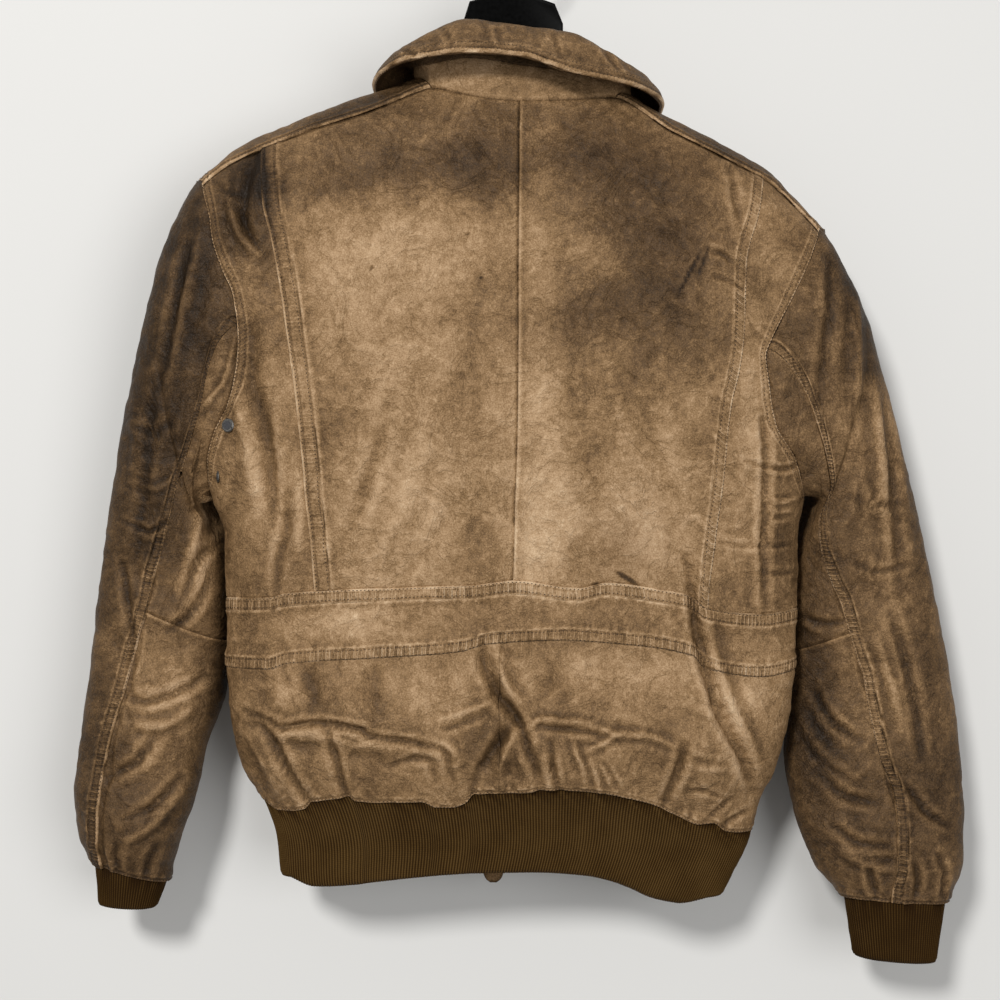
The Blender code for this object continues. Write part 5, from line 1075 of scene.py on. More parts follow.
# %% [markdown]
# ## Materials
#
# Every piece of leather has the same worn look, so it is a node group that they share. It mixes clouds of
# several sizes with the stored tone, turns the sum into colour through a ramp, and adds the grain and the
# small ribs along the seams as height. Roughness falls a little where the leather is dark and greasy.

# %% Helpers for shader nodes
def add_node(tree, kind, **settings):
    made = tree.nodes.new(kind)
    for key, value in settings.items():
        setattr(made, key, value)
    return made


def plug(tree, source, target):
    tree.links.new(source, target)


def math_node(tree, operation, first, second=0.5, clamp=False):
    """A math node whose inputs are sockets or numbers."""
    made = add_node(tree, "ShaderNodeMath", operation=operation, use_clamp=clamp)
    for place, value in enumerate((first, second)):
        if isinstance(value, (int, float)):
            made.inputs[place].default_value = value
        else:
            plug(tree, value, made.inputs[place])
    return made.outputs[0]


def noise_node(tree, coordinates, scale, detail=2.0, roughness=0.5, distortion=0.0):
    made = add_node(tree, "ShaderNodeTexNoise")
    made.inputs["Scale"].default_value = scale
    made.inputs["Detail"].default_value = detail
    made.inputs["Roughness"].default_value = roughness
    made.inputs["Distortion"].default_value = distortion
    plug(tree, coordinates, made.inputs["Vector"])
    return made.outputs["Fac"]


def stored(tree, name):
    return add_node(tree, "ShaderNodeAttribute", attribute_name=name).outputs["Fac"]


def ramp_node(tree, value, stops):
    """A colour ramp through stops of place and colour."""
    made = add_node(tree, "ShaderNodeValToRGB")
    points = made.color_ramp.elements
    while len(points) < len(stops):
        points.new(0.5)
    for point, (place, colour) in zip(points, stops):
        point.position = place
        point.color = (*colour, 1.0)
    plug(tree, value, made.inputs[0])
    return made.outputs[0]


def new_group(name, inputs, outputs):
    """A shader node group with its sockets, and the nodes that stand for its two ends."""
    group = bpy.data.node_groups.new(name, "ShaderNodeTree")
    for title, value in inputs:
        made = group.interface.new_socket(title, in_out="INPUT", socket_type="NodeSocketFloat")
        made.default_value = value
    for title, kind in outputs:
        group.interface.new_socket(title, in_out="OUTPUT", socket_type=kind)
    return group, group.nodes.new("NodeGroupInput").outputs, group.nodes.new("NodeGroupOutput").inputs


def new_material(name):
    """A material with only its shader, and its tree."""
    made = bpy.data.materials.new(name)
    made.use_nodes = True
    shader = next(item for item in made.node_tree.nodes if item.type == "BSDF_PRINCIPLED")
    return made, made.node_tree, shader.inputs


def bump(tree, height, inputs, distance, strength=1.0):
    made = add_node(tree, "ShaderNodeBump")
    made.inputs["Distance"].default_value = distance
    made.inputs["Strength"].default_value = strength
    plug(tree, height, made.inputs["Height"])
    plug(tree, made.outputs[0], inputs["Normal"])


print("helpers ready")

# %% Worn leather
LEATHER_RAMP = (
    (0, (0.016, 0.009, 0.004)), (0.2, (0.05, 0.028, 0.012)), (0.4, (0.125, 0.072, 0.032)),
    (0.56, (0.25, 0.15, 0.07)), (0.74, (0.42, 0.275, 0.155)), (1, (0.64, 0.47, 0.3)),
)


def make_leather_group():
    group, given, out = new_group("worn leather", (("Tone", 0.5), ("Contrast", 1.0)),
                                  (("Color", "NodeSocketColor"), ("Roughness", "NodeSocketFloat"),
                                   ("Height", "NodeSocketFloat")))
    place = add_node(group, "ShaderNodeTexCoord").outputs["Object"]
    broad = noise_node(group, place, 11.0, 3.0, 0.55, 0.6)
    cloudy = noise_node(group, place, 42.0, 4.0, 0.62, 0.8)
    spotty = noise_node(group, place, 190.0, 3.0, 0.6)
    fine = noise_node(group, place, 850.0, 3.0, 0.7)
    total = math_node(group, "MULTIPLY", math_node(group, "SUBTRACT", broad), 0.45)
    for layer, amount in ((cloudy, 0.32), (spotty, 0.24), (fine, 0.55)):
        part = math_node(group, "MULTIPLY", math_node(group, "SUBTRACT", layer), amount)
        total = math_node(group, "ADD", total, part)
    total = math_node(group, "MULTIPLY", total, given["Contrast"])
    total = math_node(group, "ADD", total, given["Tone"])
    total = math_node(group, "ADD", total, stored(group, "tone"))
    cracks = add_node(group, "ShaderNodeTexVoronoi", feature="DISTANCE_TO_EDGE")
    cracks.inputs["Scale"].default_value = 420.0
    bent = add_node(group, "ShaderNodeVectorMath", operation="ADD")
    wobble = add_node(group, "ShaderNodeTexNoise")
    wobble.inputs["Scale"].default_value = 120.0
    shrink = add_node(group, "ShaderNodeVectorMath", operation="SCALE")
    shrink.inputs["Scale"].default_value = 0.006
    plug(group, place, wobble.inputs["Vector"])
    plug(group, wobble.outputs["Color"], shrink.inputs[0])
    plug(group, place, bent.inputs[0])
    plug(group, shrink.outputs[0], bent.inputs[1])
    plug(group, bent.outputs[0], cracks.inputs["Vector"])
    cell = math_node(group, "MULTIPLY", cracks.outputs["Distance"], 6.0, True)
    veins = noise_node(group, place, 26.0, 5.0, 0.62, 1.4)
    veins = math_node(group, "ABSOLUTE", math_node(group, "SUBTRACT", veins), 0.0)
    veins = math_node(group, "MULTIPLY", veins, 26.0, True)
    flecks = math_node(group, "MULTIPLY", math_node(group, "SUBTRACT", spotty, 0.60), 3.0, True)
    total = math_node(group, "ADD", total, math_node(group, "MULTIPLY", flecks, 0.14))
    for layer, amount in ((cell, 0.07), (veins, 0.04)):
        part = math_node(group, "MULTIPLY", math_node(group, "SUBTRACT", layer, 1.0), amount)
        total = math_node(group, "ADD", total, part)
    ribs = []
    for band, along in (("ribs_up", "along_up"), ("ribs_across", "along_across")):
        waves = math_node(group, "MULTIPLY", stored(group, along), 2.0 * math.pi / PUCKER)
        waves = math_node(group, "ADD", waves, math_node(group, "MULTIPLY", spotty, 5.0))
        waves = math_node(group, "MAXIMUM", math_node(group, "SINE", waves), -0.15)
        ribs.append(math_node(group, "MULTIPLY", waves, stored(group, band)))
        # The seam ribs' crests are coloured lighter and their hollows darker: partly wear, partly painted
        # highlight and shade.
        total = math_node(group, "ADD", total, math_node(group, "MULTIPLY", ribs[-1], 0.20))
    colour = ramp_node(group, total, LEATHER_RAMP)
    grey = add_node(group, "ShaderNodeMix", data_type="RGBA", blend_type="MULTIPLY")
    grey.inputs[7].default_value = (0.56, 0.53, 0.51, 1.0)
    soot = math_node(group, "MULTIPLY", cloudy, 2.0)
    soot = math_node(group, "MULTIPLY", stored(group, "soot"), soot, True)
    plug(group, soot, grey.inputs[0])
    plug(group, colour, grey.inputs[6])
    plug(group, grey.outputs[2], out["Color"])
    uneven = math_node(group, "MULTIPLY", math_node(group, "SUBTRACT", spotty), 0.25)
    dull = math_node(group, "ADD", math_node(group, "MULTIPLY", total, 0.15), 0.48)
    dull = math_node(group, "ADD", dull, uneven)
    plug(group, dull, out["Roughness"])
    height = math_node(group, "MULTIPLY", cell, 0.12)
    for layer, amount in ((fine, 0.20), (veins, 0.45), (spotty, 0.90), (cloudy, 4.00)):
        height = math_node(group, "ADD", height, math_node(group, "MULTIPLY", layer, amount))
    for waves in ribs:
        height = math_node(group, "ADD", height, waves)
    plug(group, height, out["Height"])
    return group


leather_group = make_leather_group()


def make_leather(name, tone, contrast):
    made, tree, shader = new_material(name)
    worn = add_node(tree, "ShaderNodeGroup", node_tree=leather_group)
    worn.inputs["Tone"].default_value = tone
    worn.inputs["Contrast"].default_value = contrast
    plug(tree, worn.outputs["Color"], shader["Base Color"])
    plug(tree, worn.outputs["Roughness"], shader["Roughness"])
    shader["Specular IOR Level"].default_value = 0.13
    bump(tree, worn.outputs["Height"], shader, 0.0009, 1.0)
    return made


leather = make_leather("worn leather", 0.58, 1.0)
leather_dark = make_leather("dark leather", 0.30, 0.9)
leather_left = make_leather("left sleeve leather", 0.26, 0.9)
leather_right = make_leather("right sleeve leather", 0.40, 1.0)
leather_light = make_leather("light leather", 0.62, 0.8)
print("leathers:", leather.name, leather_dark.name, leather_light.name)

# %% [markdown]
# The knitted bands are dark brown, with a lighter brown on the crests of the ribs, partly as wear where they
# rub and partly as painted highlight, and with painted shade in the valleys, in the gathers and under the
# leather's edge.
# Thread, plastic and metal are plain materials, but each has its own small unevenness, because nothing real
# is perfectly even.

# %% Knit, thread, plastic and metal
def make_knit():
    made, tree, shader = new_material("brown knit")
    place = add_node(tree, "ShaderNodeTexCoord")
    along = add_node(tree, "ShaderNodeSeparateXYZ")
    plug(tree, place.outputs["UV"], along.inputs[0])
    loops = math_node(tree, "SINE", math_node(tree, "MULTIPLY", along.outputs["Y"], 2.0 * math.pi / 0.0016))
    fuzz = noise_node(tree, place.outputs["Object"], 700.0, 2.0, 0.7)
    cloud = noise_node(tree, place.outputs["Object"], 40.0, 2.0)
    crest = math_node(tree, "ADD", stored(tree, "crest"), math_node(tree, "MULTIPLY", loops, 0.10))
    for layer, amount in ((fuzz, 0.5), (cloud, 0.6)):
        part = math_node(tree, "MULTIPLY", math_node(tree, "SUBTRACT", layer), amount)
        crest = math_node(tree, "ADD", crest, part)
    # Valleys dark and crests light: partly wear on the crests, partly painted shade and highlight.
    colour = ramp_node(tree, crest, ((0.0, (0.020, 0.009, 0.002)), (0.5, (0.046, 0.023, 0.005)),
                                     (1.0, (0.092, 0.052, 0.016))))
    plug(tree, colour, shader["Base Color"])
    shader["Roughness"].default_value = 0.85
    shader["Specular IOR Level"].default_value = 0.04
    shader["Sheen Weight"].default_value = 0.02
    shader["Sheen Roughness"].default_value = 0.5
    height = math_node(tree, "ADD", math_node(tree, "MULTIPLY", loops, 0.3), fuzz)
    bump(tree, height, shader, 0.0004, 0.8)
    return made


def make_plain(name, dark, light, roughness, metallic=0.0, scale=300.0, depth=0.00005, shine=0.5):
    """A material between two near colours, with slight unevenness."""
    made, tree, shader = new_material(name)
    place = add_node(tree, "ShaderNodeTexCoord").outputs["Object"]
    cloud = noise_node(tree, place, scale, 3.0, 0.6)
    plug(tree, ramp_node(tree, cloud, ((0.3, dark), (0.7, light))), shader["Base Color"])
    rough = math_node(tree, "ADD", math_node(tree, "MULTIPLY", cloud, 0.2), roughness - 0.1)
    plug(tree, rough, shader["Roughness"])
    shader["Metallic"].default_value = metallic
    shader["Specular IOR Level"].default_value = shine
    bump(tree, cloud, shader, depth)
    return made


knit = make_knit()
thread = make_plain("dark thread", (0.018, 0.011, 0.007), (0.060, 0.038, 0.024), 0.7, 0.0, 900.0, 0.0002, 0.2)
plastic = make_plain("black plastic", (0.001, 0.001, 0.001), (0.003, 0.003, 0.003), 0.36, shine=0.02)
steel = make_plain("grey steel", (0.42, 0.42, 0.43), (0.62, 0.62, 0.62), 0.34, 1.0)
old_steel = make_plain("dull steel", (0.09, 0.085, 0.078), (0.26, 0.25, 0.235), 0.45, 1.0, 700.0)
brass = make_plain("old brass", (0.24, 0.17, 0.075), (0.46, 0.34, 0.16), 0.38, 1.0, 500.0)
tape = make_plain("zip tape", (0.030, 0.018, 0.009), (0.060, 0.038, 0.020), 0.85, 0.0, 900.0, 0.0003)
mesh_dark = make_plain("dark mesh", (0.010, 0.009, 0.010), (0.050, 0.050, 0.056), 0.6, 0.0, 1500.0, 0.0004)
print("materials:", len(bpy.data.materials))

# %% [markdown]
# ## Camera, wall and light
#
# The jacket hangs in front of a pale wall and is seen straight from its back. The wall shows only from its
# front, so that the jacket can be looked at from the other side too.

# %% Camera and wall
CAMERA_PLACE = (-0.0123, -1.5, -0.5018)
CAMERA_LENS = 63.66     # shows all but the hanger's hook
WALL_Y = 0.075          # just behind the fronts
WALL_SIZE = 6.0

camera = bpy.data.objects.new("camera", bpy.data.cameras.new("camera"))
bpy.context.scene.collection.objects.link(camera)
camera.location = CAMERA_PLACE
camera.rotation_euler = (math.radians(90.0), 0.0, 0.0)
camera.data.sensor_width = 36.0
camera.data.lens = CAMERA_LENS
bpy.context.scene.camera = camera
bpy.context.scene.view_settings.view_transform = "Standard"


def make_wall():
    made, tree, shader = new_material("pale wall")
    place = add_node(tree, "ShaderNodeTexCoord").outputs["Object"]
    cloud = noise_node(tree, place, 2.0, 2.0)
    colour = ramp_node(tree, cloud, ((0.3, (0.665, 0.662, 0.650)), (0.7, (0.68, 0.677, 0.665))))
    plug(tree, colour, shader["Base Color"])
    shader["Roughness"].default_value = 0.9
    shader["Specular IOR Level"].default_value = 0.0
    clear = add_node(tree, "ShaderNodeBsdfTransparent")
    mix = add_node(tree, "ShaderNodeMixShader")
    end = next(item for item in tree.nodes if item.type == "OUTPUT_MATERIAL")
    front = next(item for item in tree.nodes if item.type == "BSDF_PRINCIPLED").outputs[0]
    behind = add_node(tree, "ShaderNodeNewGeometry").outputs["Backfacing"]
    plug(tree, behind, mix.inputs[0])
    plug(tree, front, mix.inputs[1])
    plug(tree, clear.outputs[0], mix.inputs[2])
    plug(tree, mix.outputs[0], end.inputs[0])
    bpy.ops.mesh.primitive_plane_add(size=WALL_SIZE, location=(0.0, WALL_Y, -0.5))
    wall = bpy.context.object
    wall.name = "wall"
    bpy.ops.object.select_all(action="DESELECT")
    wall.select_set(True)
    wall.rotation_euler = (math.radians(90.0), 0.0, 0.0)
    bpy.ops.object.transform_apply(location=True, rotation=True, scale=True)
    wall.data.materials.append(made)
    return wall


wall = make_wall()
print("wall faces", tuple(round(c, 1) for c in wall.data.polygons[0].normal))

# %% Light
# Name, place, aim, size, power and colour of each lamp.
LAMPS = (
    ("window", (-1.3, -3.6, 1.2), (0.0, 0.0, -0.45), 0.8, 132.0, (1.0, 0.99, 0.97)),
    ("fill", (2.4, -4.2, -0.6), (0.0, 0.0, -0.5), 3.0, 82.0, (1.0, 1.0, 1.0)),
    ("far side", (0.8, 2.6, 0.5), (0.0, 0.0, -0.5), 2.0, 70.0, (1.0, 1.0, 1.0)),
)
ROOM_COLOUR = (1.0, 0.99, 0.97, 1.0)
ROOM_LIGHT = 0.28       # strength of the light that comes from all round


def add_lamp(name, place, aim, size, power, colour):
    lamp = bpy.data.objects.new(name, bpy.data.lights.new(name, "AREA"))
    lamp.data.shape = "DISK"
    lamp.data.size = size
    lamp.data.energy = power
    lamp.data.color = colour
    lamp.location = place
    lamp.rotation_euler = (Vector(aim) - Vector(place)).to_track_quat("-Z", "Y").to_euler()
    bpy.context.scene.collection.objects.link(lamp)
    return lamp


for lamp_settings in LAMPS:
    add_lamp(*lamp_settings)
world = bpy.data.worlds.new("room")
world.use_nodes = True
world.node_tree.nodes["Background"].inputs["Color"].default_value = ROOM_COLOUR
world.node_tree.nodes["Background"].inputs["Strength"].default_value = ROOM_LIGHT
bpy.context.scene.world = world

# %% [markdown]
# ## The leather body
#
# Every panel is made by one function: take its grid, add the creases, add what each of its four borders does,
# store the tones and close it into a shell.

# %% Making one panel
ROUGHEN = 0.40          # small unevenness of the leather's surface
CREASE_PAINTED_SHADE = 0.07      # painted shade: how much darker the leather is coloured in a trough
CREASE_DEEP = 2.0       # how much deeper a crease is than its table says
WEAR_AND_PAINTED_LIGHT = 0.22     # partly wear, partly painted highlight: how much lighter a millimetre of standing proud makes the leather; hollows get as much painted shade


def soften(grid, times=3):
    """A grid with each value blended with its neighbours."""
    for _ in range(times):
        wide = np.pad(grid, 1, mode="edge")
        grid = (wide[:-2, 1:-1] + wide[2:, 1:-1] + wide[1:-1, :-2] + wide[1:-1, 2:] + 2.0 * grid) / 6.0
    return grid


def panel(name, points, centre, seams, crease_tables, tables, surface, wall=LEATHER):
    """A finished panel from its grid. seams name what its foot, head, left and right borders do."""
    normals = grid_normals(points, centre)
    x = points[..., 0]
    z = points[..., 2]
    height = np.zeros_like(x)
    tone = np.zeros_like(x)
    for table, weight in crease_tables:
        raised, trough_shade = creases(table, x, z)
        height += CREASE_DEEP * raised * weight
        # Painted shade: each crease's trough is coloured darker.
        tone -= CREASE_PAINTED_SHADE * trough_shade * weight
    height += ROUGHEN * (noise(x / 6.0, z / 6.0, 1.0) + 1.6 * noise(x / 17.0, z / 17.0, 2.0))
    tone_table, soot_table = tables
    tone += patches(tone_table, x, z)
    if tone_table is BACK_TONES:
        tone -= patches(MARKS, x, z, 2.0)
    soot = patches(soot_table, x, z)
    values = {key: np.zeros_like(x) for key in ("ribs_up", "along_up", "ribs_across", "along_across")}
    places = from_borders(points)
    for number, (border, kind) in enumerate(zip(("foot", "head", "left", "right"), seams)):
        if kind is None:
            continue
        away, along = places[border]
        raised, change, ribs = seam_relief(kind, away, along, len(name) + 7.0 * number)
        height += raised
        tone += change
        way = "across" if border in ("foot", "head") else "up"
        stronger = ribs > values["ribs_" + way]
        values["ribs_" + way] = np.where(stronger, ribs, values["ribs_" + way])
        values["along_" + way] = np.where(stronger, along, values["along_" + way])
    outer = points + normals * height[..., None]
    # Ridges are coloured lighter, partly as wear and partly as painted highlight, and hollows darker as
    # painted shade.
    local_relief = height - soften(height)
    tone += WEAR_AND_PAINTED_LIGHT * np.clip(local_relief, -0.5, 0.5)
    values["tone"] = np.clip(tone, -0.7, 0.6)
    values["soot"] = np.clip(soot, 0.0, 1.0)
    obj = shell(name, outer, normals, wall, surface, values)
    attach(obj, ROOT)
    for number, (border, kind) in enumerate(zip(("foot", "head", "left", "right"), seams)):
        if kind is None:
            continue
        for distance in SEAMS[kind][2]:
            stitch_rows.append(row_of_stitches(outer, normals, border, distance, len(name) + 7.0 * number))
    return obj


print("panel maker ready")

# %% [markdown]
# ### The back
#
# The back is cut in two along a plain centre seam. Two side panels run up under the pleats, which let the
# arms swing forward. The half belt is set in across them with a lapped, double-stitched seam above and below.

# %% Back, side panels, half belt and lower back
BACK_CENTRE = np.array([0.0, 0.0, -450.0])
BACK_TABLES = (BACK_TONES, BACK_SOOT)
# Seam numbers across, lengths between them, line numbers up, lengths between them, and what each piece's
# foot, head, left and right borders do.
BACK_PANELS = {
    "back_left": ((0.985, 2), (160,), (2, 3, 4), (75, 345), ("under", "under", "pleat", "plain")),
    "back_right": ((2, 3.015), (160,), (2, 3, 4), (75, 345), ("under", "under", "centre", "narrow")),
    "back_side_left": ((0, 1.05), (66,), (2, 3, 4), (75, 310), ("under", "under", "armhole", "under")),
    "back_side_right": ((2.95, 4), (66,), (2, 3, 4), (75, 300), ("under", "under", "under", "armhole")),
    "half_belt": ((0, 1, 2, 3, 4), (68, 158, 158, 68), (0.965, 2.035), (50,),
                  ("belt", "belt", "plain", "plain")),
    "lower_back_left": ((0, 1, 2), (66, 158), (0, 1.03), (118,), ("gathered", "under", "plain", "faint")),
    "lower_back_right": ((2, 3, 4), (158, 66), (0, 1.03), (118,), ("gathered", "under", "faint", "plain")),
}
BACK_STEP = 2.0

for name, (across, widths, up, lengths, seams) in BACK_PANELS.items():
    v, u = np.meshgrid(lines(up, lengths, BACK_STEP), lines(across, widths, BACK_STEP), indexing="ij")
    grid = back_sheet(u, v)
    panel(name + "_leather", grid, BACK_CENTRE, seams, ((BACK_CREASES, 1.0),),
                              BACK_TABLES, leather)
    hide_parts(name)
    print(name, grid.shape[:2], "grid")

# %% [markdown]
# ### The fronts
#
# The fronts wrap over the hanger's arms to the shoulder seams on the back of the jacket, so a strip of each
# front shows beside the collar. The rest faces the wall and is finished plainly, as a leather jacket's front
# is.

# %% Fronts
# The ovals at (-200, -430) and (200, -430) are painted shade under the arms.
FRONT_TONES = (
    (-120, -330, 60, 90, 10, 0.1), (110, -330, 60, 90, -10, 0.08), (-200, -430, 30, 60, 0, -0.18),
    (200, -430, 30, 60, 0, -0.18), (-90, -560, 60, 60, 0, 0.1), (90, -560, 60, 60, 0, 0.12),
    (0, -480, 26, 260, 0, -0.1), (-120, -700, 80, 30, 0, -0.06), (-140, -178, 100, 18, 20, -0.3),
    (165, -205, 110, 18, -29, -0.3),
)
FRONT_SOOT = ((-150.0, -250.0, 50.0, 40.0, 20.0, 0.3), (160.0, -520.0, 40.0, 40.0, 0.0, 0.25))
FRONT_STEP = 3.6
FRONT_UP = (0.0, 1.0, 2.0, 3.0, 4.0, 5.02)
FRONT_LENGTHS = (120.0, 50.0, 75.0, 240.0, 130.0)
FRONT_SEAMS = ("gathered", "shoulder", "armhole", "edge")
FRONT_SOFTER = 0.6      # weight of the front's creases beside the back's

for side in ("left", "right"):
    v, s = np.meshgrid(lines(FRONT_UP, FRONT_LENGTHS, FRONT_STEP), lines((0.0, 1.0), (240.0,), FRONT_STEP),
                       indexing="ij")
    grid = front(side, s, v)
    before = (grid[..., 1] > 0.0).astype(float)
    name = "front_" + side
    panel(name + "_leather", grid, BACK_CENTRE, FRONT_SEAMS,
                               ((FRONT_CREASES, FRONT_SOFTER * before),), (FRONT_TONES, FRONT_SOOT),
                               leather)
    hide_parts(name)
    print(name, grid.shape[:2], "grid")

# %% [markdown]
# ### The sleeves
#
# Each sleeve is an outer piece, from shoulder to cuff, and an under piece cut in two at the elbow. The seam
# down the back of the sleeve is lapped and stitched twice.

# %% Sleeves
SLEEVE_STEP = 2.5
SLEEVE_TONES = {
    "left": (
        (-255, -500, 24, 110, -8, 0.16), (-292, -640, 34, 44, 30, 0.16), (-275, -690, 20, 60, 0, 0.14),
        # The narrow oval at (-244, -560) is painted shade along the sleeve's inner edge beside the body.
        (-315, -760, 30, 40, 0, 0.05), (-244, -560, 8, 100, 0, -0.3), (-330, -560, 20, 60, 0, 0.06),
        (-262, -300, 20, 60, 0, -0.16), (-290, -340, 24, 50, 0, 0.05), (-330, -700, 20, 60, 0, -0.08),
        (-320, -690, 34, 60, 0, 0.24), (-268, -552, 14, 40, 0, 0.12), (-262, -560, 16, 70, 0, 0.12),
        (-310, -380, 40, 120, 10, -0.14),
    ),
    "right": (
        (275, -420, 20, 90, 0, 0.12), (310, -470, 16, 80, -5, 0.16), (252, -560, 16, 90, 0, -0.1),
        (280, -640, 34, 60, 20, 0.06), (256, -720, 18, 60, 0, -0.12), (320, -640, 20, 80, -10, 0.1),
        (300, -790, 40, 40, 0, 0), (340, -560, 14, 90, 0, -0.08), (262, -320, 24, 50, 0, 0.05),
        (290, -320, 34, 70, 0, -0.3), (246, -660, 20, 70, 0, -0.22), (320, -760, 50, 60, 0, -0.13),
        (246, -540, 16, 60, 0, 0.12), (300, -330, 30, 60, 0, -0.06),
    ),
}
# Under the left arm the leather kept its light colour.
GUSSET_TONES = ((-248.0, -410.0, 20.0, 60.0, 0.0, 0.26), (-262.0, -500.0, 14.0, 40.0, 0.0, 0.10))
SLEEVE_SOOT = ((300.0, -300.0, 20.0, 40.0, 0.0, 0.2), (-270.0, -330.0, 20.0, 60.0, 0.0, 0.2))
# How far an under piece runs on below the outer one, in places of the armhole.
SEAM_LAP = 0.04         # at the sleeve's back seam
FRONT_LAP = 0.08        # at its front seam
TUCK = 3.0              # each of the two steps by which a sleeve's head runs on below the body


def tuck(grid, middle):
    """Two more lines at a sleeve's head, on into the body and a little down."""
    ring = grid[-1]
    onwards = unit(ring - grid[-3])
    inwards = unit(middle - ring)
    return np.stack([ring + TUCK * step * (onwards + 0.5 * inwards) for step in (1.0, 2.0)])


for side in ("left", "right"):
    marks = np.concatenate([np.linspace(0.0, 1.0, 20), np.linspace(1.0, 3.0, 40)[1:]])
    whole = sleeve_sheet(side, marks, np.linspace(0.0, 1.0, 60))
    middle = whole[:, :-1].mean(axis=1)
    elbow = ELBOW[side]
    surface = leather_left if side == "left" else leather_right
    outer_marks = lines((BACK_SEAM - 0.012, 1.0, 2.0, FRONT_SEAM), (60.0, 60.0, 50.0), SLEEVE_STEP)
    under_marks = lines((FRONT_SEAM - FRONT_LAP, 3.0, 3.0 + BACK_SEAM + SEAM_LAP), (62.0, 64.0), SLEEVE_STEP)
    under_marks = np.where(under_marks > 3.0, under_marks - 3.0, under_marks)
    cuts = (
        ("outer", outer_marks, (0.0, 1.0), 610.0, ("gathered", "tucked", "sleeve", "plain")),
        ("under_upper", under_marks, (0.0, elbow), 330.0, ("under", "tucked", "lapped", "lapped")),
        ("under_lower", under_marks, (elbow - 0.004, 1.0), 250.0, ("gathered", "centre", "lapped", "lapped")),
    )
    for cut, places, ends, length, seams in cuts:
        name = "sleeve_" + cut + "_" + side
        parts = lines(ends, (length,), SLEEVE_STEP)[::-1]
        grid = sleeve_sheet(side, places, parts)
        centre = [np.interp(parts, np.linspace(0.0, 1.0, 60), middle[:, axis]) for axis in range(3)]
        centre = np.stack(centre, axis=-1)
        if ends[0] == 0.0:
            grid = np.concatenate([grid, tuck(grid, centre[-1])])
            centre = np.concatenate([centre, centre[-1:], centre[-1:]])
        behind = ramp((centre[:, None, 1] - grid[..., 1]) / 6.0 + 0.5)
        tables = ((SLEEVE_CREASES[side, "back"], behind), (SLEEVE_CREASES[side, "front"], 1.0 - behind))
        tones = SLEEVE_TONES[side] + (GUSSET_TONES if name == "sleeve_under_upper_left" else ())
        panel(name + "_leather", grid, centre[:, None, :], seams, tables,
                                    (tones, SLEEVE_SOOT), surface)
        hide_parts(name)
        print(name, grid.shape[:2], "grid")

# %% [markdown]
# ## Knitted bands
#
# The hem's band and the cuffs are a stretchy rib knit. Its ribs are 2.5 mm apart and run from the leather to
# the foot. They are real ridges here, because they catch the light along the whole hem.

# %% The knit's ridges
RIB_WALL = 2.6          # thickness of the knit
RIB_PITCH = 2.5         # from one rib to the next
RIB_COLUMNS = 6         # grid columns for each rib
RIB_RISE = 0.9          # from a valley to a crest
TUCKED_UP = 5.0         # how far a band runs up inside the leather


def rib_profile(count):
    """Rise of the ribs at each of a number of columns, from 0 in a valley to 1 on a crest."""
    turned = 2.0 * math.pi * np.arange(count) / RIB_COLUMNS
    return (0.5 - 0.5 * np.cos(turned)) ** 0.8


def knit_piece(name, grid, centre, ring=False, dark=0.0):
    """A knitted band from its grid, whose rows run along its top and foot."""
    normals = grid_normals(grid, centre)
    crest = np.broadcast_to(rib_profile(grid.shape[1]), grid.shape[:2]).copy()
    down, along = from_borders(grid)["foot"]
    height = RIB_RISE * (crest - 0.5) + 0.35 * noise(along / 19.0, down / 26.0, 4.0)
    height += 0.25 * noise(along / 7.0, down / 12.0, 6.0)
    last = down[-1:]
    height -= 1.0 * np.exp(-((last - down) / 1.2) ** 2)
    outer = grid + normals * height[..., None]
    # Painted shade under the leather's edge at the band's top, and painted shadow in the gathers just below
    # it.
    crest = crest - 0.25 * np.exp(-(down / 4.0) ** 2)
    gather_shadow = ramp(0.5 + 1.2 * noise(along / 4.5, down / 40.0, 8.0))
    crest = crest - 0.7 * gather_shadow * np.exp(-np.maximum(down - 6.0, 0.0) / 5.0) - dark
    obj = shell(name + "_knit", outer, normals, RIB_WALL, knit, {"crest": crest}, ring)
    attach(obj, ROOT)
    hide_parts(name)
    return obj


def evenly(points, count):
    """A line of points resampled to a number of even steps."""
    run = np.concatenate([[0.0], np.cumsum(np.linalg.norm(np.diff(points, axis=0), axis=1))])
    stops = np.linspace(0.0, run[-1], count + 1)
    return np.stack([np.interp(stops, run, points[:, c]) for c in range(3)], axis=-1), run[-1]


print("ridges every", RIB_PITCH, "mm")

# %% The hem's band
def hem_top():
    """The leather's lower edge from the zip on the left round by the back to the zip on the right."""
    s = np.linspace(0.0, 1.0, 80)
    left = front("left", s[::-1][None], np.zeros((1, 80)))[0]
    behind = back_sheet(np.linspace(0.0, 4.0, 200)[None], np.zeros((1, 200)))[0]
    right = front("right", s[None], np.zeros((1, 80)))[0]
    return np.concatenate([left, behind[1:], right[1:]])


